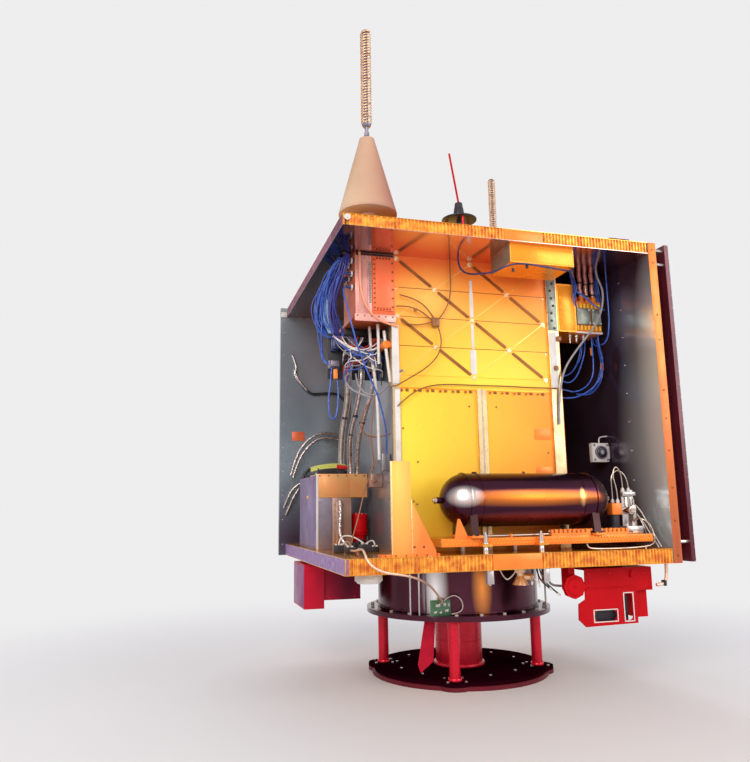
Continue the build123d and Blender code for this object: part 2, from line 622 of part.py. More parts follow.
# Blue coaxial leads that loop below the connector block to the tower's right face
right_coax_routes = [
    [(422, -276, 724), (422, -276, 690), (436, -270, 640), (434, -264, 590), (404, -250, 548), (356, -238, 524),
     (314, -234, 516), (284, -234, 516)],
    [(414, -250, 724), (414, -250, 690), (416, -246, 640), (412, -244, 588), (386, -240, 556), (346, -232, 536),
     (314, -228, 546), (284, -228, 546)],
    [(406, -222, 724), (406, -222, 690), (390, -222, 640), (366, -222, 590), (336, -222, 570), (310, -222, 576),
     (284, -222, 576)],
    [(446, -310, 934), (446, -310, 860), (447, -311, 780), (444, -300, 700), (430, -262, 690), (424, -240, 700),
     (424, -240, 724)],
]
with BuildPart() as right_coax:
    for route in right_coax_routes:
        cable(route, COAX_R)
right_coax.part.label = "right_coax"
export_step(right_coax.part, "parts/right_coax.step")

# Grey lead from the ceiling past the connector block to the tower's right rail
LEAD_R = 4.0
right_lead_route = [
    (404, -318, 934), (404, -318, 915), (424, -320, 866), (414, -320, 800), (386, -322, 746), (340, -322, 696),
    (292, -322, 640), (262, -320, 596), (248, -316, 540), (240, -313, 480), (238, -312, 420),
]
with BuildPart() as right_lead:
    cable(right_lead_route, LEAD_R)
right_lead.part.label = "right_lead"
export_step(right_lead.part, "parts/right_lead.step")

# Leads across the tower's face, held by a knot block at the middle of the left trays
KNOT_X = -166.0
KNOT_H = 726.0
face_cable_routes = [
    [(-112, -311, 934), (-112, -311, 890), (-114, -312, 820), (-128, -312, 770), (-154, -312, 738)],
    [(-292, -316, 768), (-262, -316, 770), (-222, -314, 762), (-188, -312, 742), (-178, -312, 732)],
    [(-160, -312, 714), (-150, -313, 690), (-150, -314, 650), (-168, -316, 612), (-208, -318, 576), (-256, -320, 548),
     (-296, -322, 524)],
    [(-292, -311.2, 464), (-262, -311.2, 492), (-226, -311.2, 516), (-180, -311.2, 530), (-120, -311.2, 535),
     (-40, -311.2, 534), (60, -311.2, 535), (150, -311.2, 533), (240, -311.2, 534)],
]
ceiling_lead_route = [
    (-92, -330, 934), (-92, -330, 905), (-74, -350, 876), (-52, -400, 862), (-30, -450, 852), (-6, -482, 862),
    (36, -492, 868), (100, -492, 866), (170, -488, 864), (220, -460, 870), (242, -434, 884), (244, -430, 905),
    (244, -430, 934),
]
with BuildPart() as face_cables:
    for route in face_cable_routes:
        cable(route, COAX_R)
    cable(ceiling_lead_route, COAX_R)
    block(KNOT_X - 12, KNOT_X + 12, TOWER_YF - 18, TOWER_YF - RIB_H, DECK_Z + KNOT_H - 14, DECK_Z + KNOT_H + 14)
face_cables.part.label = "face_cables"
export_step(face_cables.part, "parts/face_cables.step")

# Propulsion tray with the pressure tank
TANK_R = 75.0
TANK_L = 520.0
TANK_END_GAP = 152.0
TANK_XR = WALL_X - TANK_END_GAP
TANK_XL = TANK_XR - TANK_L
TANK_Y = Y_F + 100.0
TANK_Z = FLOOR_Z + 145.0
TRAY_STAND = 20.0
TRAY_T = 22.0
TRAY_FRONT = 32.0
TRAY_GAP = 12.0
TRAY_XL = TOWER_XL + 64.0
TRAY_XR = WALL_X - 42.0
TRAY_YF = Y_F + TRAY_FRONT
TRAY_Z0 = FLOOR_Z + TRAY_STAND
TRAY_Z1 = TRAY_Z0 + TRAY_T
STANDOFF_R = 7.0
TAB_D = 28.0
standoff_xs = (-106.0, 61.0)
standoff_ys = (Y_F + 18.0, TOWER_YF - 20.0)
with BuildPart() as propulsion_tray:
    block(TRAY_XL, TRAY_XR, TRAY_YF, TOWER_YF - TRAY_GAP, TRAY_Z0, TRAY_Z1)
    for x in standoff_xs:
        block(x - TAB_D / 2, x + TAB_D / 2, TRAY_YF - TAB_D, TRAY_YF, TRAY_Z0, TRAY_Z0 + 6)
propulsion_tray.part.label = "propulsion_tray"
export_step(propulsion_tray.part, "parts/propulsion_tray.step")

# Posts under the tray, and the square feet under the deck below the front ones
FOOT_H = 36.0
with BuildPart() as tray_standoffs:
    posts = [(x, y) for x in standoff_xs for y in standoff_ys]
    prism(Plane.XY.offset(FLOOR_Z), posts, STANDOFF_R, 12, TRAY_STAND)
    caps = [(x, standoff_ys[0]) for x in standoff_xs]
    prism(Plane.XY.offset(TRAY_Z0 + 6), caps, STANDOFF_R - 1, 12, 26)
    for x in standoff_xs:
        block(x - 2, x + 16, Y_F + 8, Y_F + 24, DECK_Z - FOOT_H, DECK_Z)
tray_standoffs.part.label = "tray_standoffs"
export_step(tray_standoffs.part, "parts/tray_standoffs.step")

tank_x_mid = TANK_XL + TANK_L / 2
tank_half = TANK_L / 2
WELD_X = tank_half - TANK_R - 28.0
PORT_R = 9.0
with BuildPart() as pressure_tank:
    with BuildSketch(Plane.XZ) as tank_half_section:
        with BuildLine():
            Polyline((-tank_half, 0), (tank_half, 0))
            Line((tank_half - TANK_R, TANK_R), (-tank_half + TANK_R, TANK_R))
            CenterArc((tank_half - TANK_R, 0), TANK_R, 0, 90)
            CenterArc((-tank_half + TANK_R, 0), TANK_R, 90, 90)
        make_face()
    revolve(axis=Axis.X)
    along_x(-WELD_X - 3, -WELD_X + 3, 0, 0, TANK_R + 1.5)
    along_x(WELD_X - 3, WELD_X + 3, 0, 0, TANK_R + 1.5)
    along_x(-tank_half - 12, -tank_half + 6, 0, 0, PORT_R)
    along_x(tank_half - 6, tank_half + 12, 0, 0, PORT_R)
pressure_tank.part = pressure_tank.part.moved(Location((tank_x_mid, TANK_Y, TANK_Z)))
pressure_tank.part.label = "pressure_tank"
export_step(pressure_tank.part, "parts/pressure_tank.step")

# Saddles under the tank, each cradle between two sloping cheeks
SADDLE_T = 22.0
SADDLE_HALF = 62.0
SADDLE_RISE = 30.0
SADDLE_INSET = 60.0
saddle_xs = (TANK_XL + SADDLE_INSET, TANK_XR - SADDLE_INSET - SADDLE_T)
with BuildPart() as tank_saddles:
    for x in saddle_xs:
        with BuildSketch(Plane.YZ.offset(x)) as cheek:
            with BuildLine():
                Polyline(
                    (TANK_Y - SADDLE_HALF - 10, TRAY_Z1),
                    (TANK_Y - SADDLE_HALF, TANK_Z - SADDLE_RISE),
                    (TANK_Y + SADDLE_HALF, TANK_Z - SADDLE_RISE),
                    (TANK_Y + SADDLE_HALF + 10, TRAY_Z1),
                    close=True,
                )
            make_face()
        extrude(amount=SADDLE_T)
        along_x(x - 1, x + SADDLE_T + 1, TANK_Y, TANK_Z, TANK_R, Mode.SUBTRACT)
tank_saddles.part.label = "tank_saddles"
export_step(tank_saddles.part, "parts/tank_saddles.step")

# Combs that hold the pipes along the tray's front edge: left end, right end
COMB_D = 16.0
COMB_H = 18.0
COMB_SLOT = 6.0
COMB_PITCH = 14.0
comb_spans = [(102.0, 225.0), (TRAY_XR - 155.0, TRAY_XR - 80.0)]
with BuildPart() as pipe_comb:
    for x0, x1 in comb_spans:
        block(x0, x1, TRAY_YF, TRAY_YF + COMB_D, TRAY_Z1, TRAY_Z1 + COMB_H)
        for i in range(int((x1 - x0) // COMB_PITCH)):
            slot_x = x0 + 6 + i * COMB_PITCH
            block(slot_x, slot_x + COMB_SLOT, TRAY_YF - 1, TRAY_YF + COMB_D + 1, TRAY_Z1 + 8, TRAY_Z1 + COMB_H + 1,
                  Mode.SUBTRACT)
pipe_comb.part.label = "pipe_comb"
export_step(pipe_comb.part, "parts/pipe_comb.step")

# Valve bracket at the tank's right end: a tall plate with its foot, valves and filter
BRACKET_GAP = 66.0
BRACKET_XL = TANK_XR + BRACKET_GAP
BRACKET_W = 42.0
BRACKET_Y = TANK_Y + 8.0
VALVE_R = 12.0
with BuildPart() as valve_bracket:
    block(BRACKET_XL, BRACKET_XL + BRACKET_W, BRACKET_Y, BRACKET_Y + 6, TRAY_Z1, TANK_Z + 25)
    block(BRACKET_XL, TRAY_XR, BRACKET_Y + 6, BRACKET_Y + 42, TRAY_Z1, TRAY_Z1 + 5)
    block(BRACKET_XL - 4, BRACKET_XL + BRACKET_W + 4, BRACKET_Y - 14, BRACKET_Y, TANK_Z + 7, TANK_Z + 19)
    along_y(BRACKET_XL + 13.5, BRACKET_Y - 30, BRACKET_Y, TANK_Z - 36, VALVE_R)
    block(BRACKET_XL + 27, BRACKET_XL + 40, BRACKET_Y - 16, BRACKET_Y, TANK_Z - 90, TANK_Z - 20)
    block(BRACKET_XL - 16, BRACKET_XL + 42, BRACKET_Y - 40, BRACKET_Y, TRAY_Z1, TRAY_Z1 + 22)
    block(BRACKET_XL - 46, BRACKET_XL - 18, TANK_Y - 12, TANK_Y + 12, TRAY_Z1, TANK_Z - 48)
    block(BRACKET_XL - 50, BRACKET_XL - 14, TANK_Y - 16, TANK_Y + 16, TANK_Z - 48, TANK_Z - 14)
valve_bracket.part.label = "valve_bracket"
export_step(valve_bracket.part, "parts/valve_bracket.step")

# Thin steel tubes between tank, valves and deck
TUBE_R = 3.0
tube_routes = [
    [(354, -394, 173), (354, -394, 205), (352, -398, 246), (366, -399, 264), (392, -399, 260), (408, -399, 236),
     (408, -399, 206)],
    [(362, -408, 173), (362, -408, 214), (350, -410, 250), (358, -410, 276), (376, -408, 266), (388, -399, 236),
     (388, -399, 206)],
    [(424, -372, 89), (424, -372, 112), (436, -370, 138), (456, -374, 132), (464, -388, 92), (456, -414, 62),
     (430, -448, 52), (402, -470, 52), (402, -470, 42)],
    [(404, -418, 106), (404, -418, 122), (412, -440, 128), (432, -454, 112), (444, -458, 80), (430, -474, 54),
     (370, -484, 47), (300, -487, 46), (214, -487, 47), (200, -487, 54), (200, -487, 62)],
]
with BuildPart() as tank_pipes:
    for route in tube_routes:
        cable(route, TUBE_R)
tank_pipes.part.label = "tank_pipes"
export_step(tank_pipes.part, "parts/tank_pipes.step")

# Sensor in its frame on the right side panel
SENSOR_Y = Y_F + 275.0
SENSOR_W = 62.0
SENSOR_XL = WALL_X - 67.0
SENSOR_Z0 = FLOOR_Z + 266.0
SENSOR_LENS_R = 18.0
with BuildPart() as sensor_frame:
    block(SENSOR_XL, SENSOR_XL + SENSOR_W, SENSOR_Y, SENSOR_Y + 20, SENSOR_Z0, SENSOR_Z0 + 63)
    along_y(SENSOR_XL + SENSOR_W / 2, SENSOR_Y - 10, SENSOR_Y, SENSOR_Z0 + 32, SENSOR_LENS_R)
    block(SENSOR_XL + SENSOR_W, WALL_X, SENSOR_Y + 4, SENSOR_Y + 16, SENSOR_Z0 + 12, SENSOR_Z0 + 52)
sensor_frame.part.label = "sensor_frame"
export_step(sensor_frame.part, "parts/sensor_frame.step")

# Antennas on the top panel, the two cones at opposite corners
antenna_points = [(X_L + 95.0, Y_F + 85.0), (X_R - 105.0, Y_B - 85.0)]
HUB_R = 30.0
HUB_H = 38.0
CONE_BASE_R = 85.0
CONE_TOP_R = 22.0
CONE_H = 235.0
CONE_Z = TOP_Z + HUB_H
NECK_R = 6.0
NECK_H = 48.0
HELIX_R = 17.0
HELIX_H = 310.0
HELIX_CORE_R = 6.0
HELIX_TURNS = 16
WIRE_T = 5.0
NECK_Z = CONE_Z + CONE_H
HELIX_Z = NECK_Z + NECK_H
with BuildPart() as antenna_cones:
    for x, y in antenna_points:
        upright(x, y, TOP_Z, CONE_Z, HUB_R)
        with Locations((x, y, CONE_Z + CONE_H / 2)):
            Cone(CONE_BASE_R, CONE_TOP_R, CONE_H)
antenna_cones.part.label = "antenna_cones"
export_step(antenna_cones.part, "parts/antenna_cones.step")

# The winding is a stack of ten-sided turns on its core
HELIX_PITCH = (HELIX_H - WIRE_T) / (HELIX_TURNS - 1)
with BuildPart() as helix_antennas:
    prism(Plane.XY.offset(NECK_Z), antenna_points, NECK_R, 12, NECK_H + HELIX_H)
    for i in range(HELIX_TURNS):
        prism(Plane.XY.offset(HELIX_Z + i * HELIX_PITCH), antenna_points, HELIX_R, 10, WIRE_T)
helix_antennas.part.label = "helix_antennas"
export_step(helix_antennas.part, "parts/helix_antennas.step")

DISC_X = -128.0
DISC_Y = Y_F + 66.0
DISC_STEM_H = 38.0
DISC_PLATE_T = 4.0
DISC_PLATE_R = 52.0
KNOB_H = 52.0
DISC_PLATE_Z = TOP_Z + DISC_STEM_H + DISC_PLATE_T
with BuildPart() as disc_antenna:
    upright(DISC_X, DISC_Y, TOP_Z, TOP_Z + DISC_STEM_H, 7)
    upright(DISC_X, DISC_Y, TOP_Z + DISC_STEM_H, DISC_PLATE_Z, DISC_PLATE_R)
    with Locations((DISC_X, DISC_Y, DISC_PLATE_Z + KNOB_H / 2)):
        Cone(20, 12, KNOB_H)
disc_antenna.part.label = "disc_antenna"
export_step(disc_antenna.part, "parts/disc_antenna.step")

WHIP_L = 158.0
WHIP_R = 3.0
WHIP_LEAN = -9.0
WHIP_CLEAR = 79.0
with BuildPart() as whip_rod:
    with Locations(Location((DISC_X - 12, DISC_Y, DISC_PLATE_Z + KNOB_H + WHIP_CLEAR), (0, WHIP_LEAN, 0))):
        Cylinder(WHIP_R, WHIP_L)
whip_rod.part.label = "whip_rod"
export_step(whip_rod.part, "parts/whip_rod.step")

with BuildPart() as top_plate:
    block(X_R - 157, X_R - 85, Y_F + 8, Y_F + 60, TOP_Z, TOP_Z + 8)
top_plate.part.label = "top_plate"
export_step(top_plate.part, "parts/top_plate.step")

# Red covers below the deck, right and left
COVER_T = 4.0
COVER_DROP = 12.0
COVER_Z = DECK_Z - COVER_DROP
COVER_Y = Y_F + 70.0
COVER_D = 130.0
COVER_XL = X_R - 281.0
COVER_XR = X_R - 111.0
SIDE_FLAP_XR = X_R - 60.0
with BuildPart() as right_cover:
    with BuildSketch(Plane.XZ.offset(-COVER_Y)) as right_cover_face:
        with BuildLine():
            Polyline(
                (COVER_XR, COVER_Z),
                (COVER_XR - 5, COVER_Z - 156),
                (COVER_XL - 5, COVER_Z - 159),
                (COVER_XL - 27, COVER_Z - 138),
                (COVER_XL - 25, COVER_Z - 96),
                (COVER_XL - 3, COVER_Z - 84),
                (COVER_XL, COVER_Z),
                close=True,
            )
        make_face()
        with Locations((COVER_XL + 60, COVER_Z - 131)):
            SlotOverall(74, 30, mode=Mode.SUBTRACT)
        with Locations((COVER_XR - 33, COVER_Z - 110)):
            SlotOverall(76, 28, rotation=90, mode=Mode.SUBTRACT)
    extrude(amount=COVER_T)
    block(COVER_XL, COVER_XR, COVER_Y, COVER_Y + COVER_D, COVER_Z - COVER_T, COVER_Z)
    block(COVER_XR - 4, SIDE_FLAP_XR, COVER_Y - COVER_T, COVER_Y + COVER_D, COVER_Z - 66, COVER_Z)
    block(COVER_XR, SIDE_FLAP_XR - 12, COVER_Y + 10, COVER_Y + 60, COVER_Z - 142, COVER_Z - 66)
    block(COVER_XL + 11, COVER_XR - 11, COVER_Y + 50, COVER_Y + 90, COVER_Z, DECK_Z)
right_cover.part.label = "right_cover"
export_step(right_cover.part, "parts/right_cover.step")

# Eight-sided cap on the left of the right cover
CAP_R = 34.0
CAP_D = 30.0
CAP_X = COVER_XL - 40.0
CAP_Z = COVER_Z - 46.0
with BuildPart() as nozzle_cap:
    prism(Plane.XZ.offset(-COVER_Y), [(CAP_X, CAP_Z)], CAP_R, 8, CAP_D / 2)
    block(CAP_X - 10, CAP_X + 10, COVER_Y, COVER_Y + 40, CAP_Z - 12, DECK_Z)
nozzle_cap.part.label = "nozzle_cap"
export_step(nozzle_cap.part, "parts/nozzle_cap.step")

SLAB_W = 67.0
SLAB_YF = Y_F + 610.0
SLAB_D = 205.0
SLAB_H = 143.0
BOX_W = 127.0
BOX_H = 118.0
SLAB_XL = X_L + 6.0
with BuildPart() as left_cover:
    block(SLAB_XL, SLAB_XL + SLAB_W, SLAB_YF, SLAB_YF + SLAB_D, COVER_Z - SLAB_H, COVER_Z)
    block(SLAB_XL + SLAB_W, SLAB_XL + SLAB_W + BOX_W, SLAB_YF + 12, SLAB_YF + SLAB_D, COVER_Z - BOX_H, COVER_Z)
    block(SLAB_XL + 20, SLAB_XL + SLAB_W + BOX_W - 40, SLAB_YF + 40, SLAB_YF + SLAB_D - 40, COVER_Z, DECK_Z)
left_cover.part.label = "left_cover"
export_step(left_cover.part, "parts/left_cover.step")

with BuildPart() as deck_sensor:
    upright(X_L + 80, Y_F + 70, DECK_Z - 26, DECK_Z, 38)
deck_sensor.part.label = "deck_sensor"
export_step(deck_sensor.part, "parts/deck_sensor.step")

THRUSTER_X = 13.0
THRUSTER_Y = Y_F + 60.0
with BuildPart() as thruster:
    upright(THRUSTER_X, THRUSTER_Y, DECK_Z - 14, DECK_Z, 16)
    with Locations((THRUSTER_X, THRUSTER_Y, DECK_Z - 14 - 16)):
        Cone(14, 24, 32)
    along_x(THRUSTER_X + 10, THRUSTER_X + 38, THRUSTER_Y, DECK_Z - 26, 10)
thruster.part.label = "thruster"
export_step(thruster.part, "parts/thruster.step")

# Foil lead at the deck's right front corner, and the grey lead into the cap
corner_lead_routes = [
    [(478, -454, 0), (478, -454, -24), (474, -454, -50), (458, -454, -62), (440, -454, -62)],
    [(104, -430, 0), (104, -430, -24), (112, -422, -46), (138, -410, -58), (169, -410, -58)],
]
with BuildPart() as corner_leads:
    for route in corner_lead_routes:
        cable(route, LEAD_R)
corner_leads.part.label = "corner_leads"
export_step(corner_leads.part, "parts/corner_leads.step")

# Free test lead from a deck plug over the front edge to its small board on the flange
TEST_LEAD_R = 3.0
test_lead_route = [
    (-432, -285, 51), (-432, -330, 51), (-433, -385, 58), (-440, -445, 62), (-452, -506, 60), (-446, -528, 30),
    (-410, -530, 8), (-356, -524, 0), (-308, -486, -12), (-268, -436, -28), (-226, -376, -48), (-190, -330, -78),
    (-152, -280, -108), (-152, -244, -108),
]
test_points = [(x, y, DECK_Z + h) for x, y, h in test_lead_route]
test_radii = bend_radii(test_points)
print("test lead radii", [round(r, 1) for r in test_radii])
with BuildPart() as test_lead:
    with BuildLine() as test_path:
        FilletPolyline(*test_points, radius=test_radii)
    first_run = Vector(*test_points[1]) - Vector(*test_points[0])
    with BuildSketch(Plane(origin=test_points[0], z_dir=first_run)) as lead_section:
        Circle(TEST_LEAD_R)
    sweep(lead_section.sketch, path=test_path.line)
test_length = test_path.wires()[0].length
section_area = math.pi * TEST_LEAD_R ** 2
print("test lead length", round(test_length, 1))
print("test lead volume by section times length", round(test_lead.part.volume / (section_area * test_length), 4))
test_lead.part.label = "test_lead"
export_step(test_lead.part, "parts/test_lead.step")

# Small circuit board on the lead's end, stood on the flange
BOARD_W = 64.0
BOARD_T = 6.0
BOARD_H = 46.0
BOARD_XL = -182.0
BOARD_YF = -244.0
with BuildPart() as lead_board:
    block(BOARD_XL, BOARD_XL + BOARD_W, BOARD_YF, BOARD_YF + BOARD_T, FLANGE_TOP, FLANGE_TOP + BOARD_H)
lead_board.part.label = "lead_board"
export_step(lead_board.part, "parts/lead_board.step")
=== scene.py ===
"""Looks of a small satellite on its integration stand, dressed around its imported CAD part.

Lengths are in metres. X runs right along the open front, Y runs to the back, Z is up from the bench.
Places of small pieces are in millimetres, with heights above the underside of the deck, as in the part's source.
"""

from __future__ import annotations

import logging
import math
from dataclasses import dataclass
from enum import Enum
from typing import Iterable, Sequence

import bmesh
import bpy
from mathutils import Matrix, Vector

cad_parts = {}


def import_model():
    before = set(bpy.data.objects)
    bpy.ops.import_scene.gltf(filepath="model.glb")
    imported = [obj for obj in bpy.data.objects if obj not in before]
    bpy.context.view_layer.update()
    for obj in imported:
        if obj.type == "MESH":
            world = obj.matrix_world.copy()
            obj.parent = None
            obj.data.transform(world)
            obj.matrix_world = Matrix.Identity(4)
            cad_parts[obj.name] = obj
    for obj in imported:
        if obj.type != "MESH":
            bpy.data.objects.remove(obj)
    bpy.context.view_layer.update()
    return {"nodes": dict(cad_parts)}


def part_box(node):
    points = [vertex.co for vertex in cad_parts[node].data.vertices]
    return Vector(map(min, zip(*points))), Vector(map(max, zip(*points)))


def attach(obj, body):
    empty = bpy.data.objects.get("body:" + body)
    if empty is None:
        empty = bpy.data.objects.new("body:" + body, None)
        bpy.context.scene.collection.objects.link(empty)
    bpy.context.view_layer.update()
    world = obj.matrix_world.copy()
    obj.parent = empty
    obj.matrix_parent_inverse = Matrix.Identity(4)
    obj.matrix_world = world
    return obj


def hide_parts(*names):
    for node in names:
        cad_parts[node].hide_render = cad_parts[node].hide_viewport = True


LOG = logging.getLogger("satellite")
Point = tuple[float, float, float]
Colour = tuple[float, float, float]

MM = 0.001

# Underside of the deck above the bench, in metres, and the deck's top above its underside, in millimetres
DECK = 0.355
DECK_TOP = 42.0

# Depth of foil's creases and of finer grain, and the gloss of clear coats and of the smoothest finish
FOIL_DEPTH, GRAIN_DEPTH = 0.0015, 0.0004
COAT_ROUGHNESS, LEAST_ROUGHNESS = 0.08, 0.02

# Rim and depth of a screw's socket, as shares of the head's radius and height
SOCKET_RIM, SOCKET_DEPTH = 0.45, 0.5

# Steps of a cable from point to point, and a bundle's spread where it is held, as a share of its full spread
CURVE_STEPS = 6
HELD_SHARE = 0.25

# How far, in metres, a cap may lie off its level and still be found
LEVEL_SLACK = 0.00001

FRONT, BACK, LEFT, UP, DOWN = (0, -1, 0), (0, 1, 0), (-1, 0, 0), (0, 0, 1), (0, 0, -1)


def at(x: float, y: float, h: float) -> Vector:
    """Turn millimetres into a point of the frame.

    Args:
        x: Distance to the right of the stand's axis.
        y: Distance behind the stand's axis.
        h: Height above the underside of the deck.

    Returns:
        The point in metres.
    """
    return Vector((x * MM, y * MM, DECK + h * MM))


# Shader nodes


class Net:
    """Shader nodes of one tree, each under a short label."""

    def __init__(self, tree: bpy.types.NodeTree, **known: bpy.types.Node) -> None:
        """Keep the tree.

        Args:
            tree: The node tree to fill.
            **known: Nodes that it has already, by label.
        """
        self.tree = tree
        self.nodes = known

    def add(self, label: str, kind: str, values: dict[str, object] | None = None, **settings: object) -> None:
        """Add a node.

        Args:
            label: Its label.
            kind: Blender's type of shader node.
            values: Values of its sockets.
            **settings: Its properties.
        """
        self.nodes[label] = self.tree.nodes.new(f"ShaderNode{kind}")
        for key, value in settings.items():
            setattr(self.nodes[label], key, value)
        self.fill(label, values or {})

    def fill(self, label: str, values: dict[str, object]) -> None:
        """Set values on the sockets of a node."""
        for socket, value in values.items():
            self.nodes[label].inputs[socket].default_value = value

    def join(self, *runs: str) -> None:
        """Join sockets.

        Args:
            *runs: Each written as label.socket > label.socket, where a number may stand for a socket.
        """
        for run in runs:
            (start, outlet), (end, inlet) = (side.split(".") for side in run.split(" > "))
            into = self.nodes[end].inputs[int(inlet) if inlet.isdigit() else inlet]
            self.tree.links.new(self.nodes[start].outputs[outlet], into)


class Effect(Net):
    """A shader node group that several finishes share, built once."""

    def __init__(self, name: str, results: Sequence[str], **inputs: float | Point) -> None:
        """Start the group with its sockets and the object's coordinates.

        Args:
            name: Name of the group.
            results: Names of the numbers that it puts out.
            **inputs: Defaults of the numbers and vectors that it takes.
        """
        tree = bpy.data.node_groups.new(name, "ShaderNodeTree")
        for label, start in inputs.items():
            kind = "NodeSocketVector" if isinstance(start, tuple) else "NodeSocketFloat"
            tree.interface.new_socket(label, in_out="INPUT", socket_type=kind).default_value = start
        for label in results:
            tree.interface.new_socket(label, in_out="OUTPUT", socket_type="NodeSocketFloat")
        super().__init__(tree, source=tree.nodes.new("NodeGroupInput"), result=tree.nodes.new("NodeGroupOutput"))
        self.add("place", "TexCoord")


class Effects:
    """The shared groups: clouds over a sheet, foil creases, brushed lines, soft patches and solar cells."""

    def __init__(self) -> None:
        """Build every group."""
        self.clouds = self.make_clouds()
        self.crinkle = self.make_crinkle()
        self.brushed = self.make_brushed()
        self.patch = self.make_patch()
        self.cells = self.make_cells()

    def make_clouds(self) -> bpy.types.NodeTree:
        """Make soft clouds over a surface, as a mask.

        Returns:
            The group's tree, as of each effect.
        """
        group = Effect("soft_clouds", ("Mask",), Scale=6.0, Low=0.35, High=0.7)
        group.add("noise", "TexNoise", {"Detail": 4.0, "Roughness": 0.55})
        group.add("span", "MapRange")
        group.join(
            "place.Object > noise.Vector", "source.Scale > noise.Scale", "noise.Fac > span.Value",
            "source.Low > span.From Min", "source.High > span.From Max", "span.Result > result.Mask")
        return group.tree

    def make_crinkle(self) -> bpy.types.NodeTree:
        """Make the sharp creases of wrapped foil.

        Returns:
            The tree, with Height and Mask.
        """
        group = Effect("foil_crinkle", ("Height", "Mask"), Scale=220.0)
        group.add("cells", "TexVoronoi", feature="F1")
        group.add("noise", "TexNoise")
        group.add("mix", "Math", operation="MULTIPLY")
        group.join(
            "place.Object > cells.Vector", "place.Object > noise.Vector", "source.Scale > cells.Scale",
            "source.Scale > noise.Scale", "cells.Distance > mix.0", "noise.Fac > mix.1", "mix.Value > result.Height",
            "noise.Fac > result.Mask")
        return group.tree

    def make_patch(self) -> bpy.types.NodeTree:
        """Make a soft round patch, full at its centre and gone at its reach.

        Returns:
            The tree, with Mask.
        """
        group = Effect("soft_patch", ("Mask",), Centre=(0, 0, 0), Reach=(1, 1, 1))
        group.add("shift", "Mapping", vector_type="TEXTURE")
        group.add("ball", "TexGradient", gradient_type="SPHERICAL")
        group.join(
            "place.Object > shift.Vector", "source.Centre > shift.Location", "source.Reach > shift.Scale",
            "shift.Vector > ball.Vector", "ball.Fac > result.Mask")
        return group.tree

    def make_cells(self) -> bpy.types.NodeTree:
        """Make the grid lines between solar cells that stand upright and face sideways.

        Returns:
            The tree, with Lines.
        """
        group = Effect("solar_cells", ("Lines",), Scale=1.0)
        group.add("split", "SeparateXYZ")
        group.add("turned", "CombineXYZ")
        sizes = {"Mortar Size": 0.0012, "Brick Width": 0.061, "Row Height": 0.04}
        group.add("grid", "TexBrick", sizes, offset=0.0, squash=1.0)
        group.join(
            "place.Object > split.Vector", "split.Y > turned.X", "split.Z > turned.Y", "turned.Vector > grid.Vector",
            "source.Scale > grid.Scale", "grid.Fac > result.Lines")
        return group.tree

    def make_brushed(self) -> bpy.types.NodeTree:
        """Make fine lines along X.

        Returns:
            The tree, with Lines.
        """
        group = Effect("brushed_lines", ("Lines",), Across=900.0, Along=12.0)
        group.add("split", "SeparateXYZ")
        group.add("stretched", "CombineXYZ")
        group.add("noise", "TexNoise", {"Scale": 1.0, "Detail": 2.0})
        for axis, socket in (("X", "Along"), ("Y", "Across"), ("Z", "Across")):
            group.add(axis, "Math", operation="MULTIPLY")
            group.join(f"split.{axis} > {axis}.0", f"source.{socket} > {axis}.1", f"{axis}.Value > stretched.{axis}")
        group.join("place.Object > split.Vector", "stretched.Vector > noise.Vector", "noise.Fac > result.Lines")
        return group.tree


# Finishes


class Grain(Enum):
    """Fine relief of a finish."""

    SMOOTH = "smooth"
    FINE = "fine"
    BRUSHED = "brushed"
    FOIL = "foil"


@dataclass(frozen=True)
class Patch:
    """A place where a sheet takes another tone: painted light, shade, highlights and reflections, and the gold of the
    roof's upper face.
    """

    tone: Colour
    centre: Point
    reach: Point


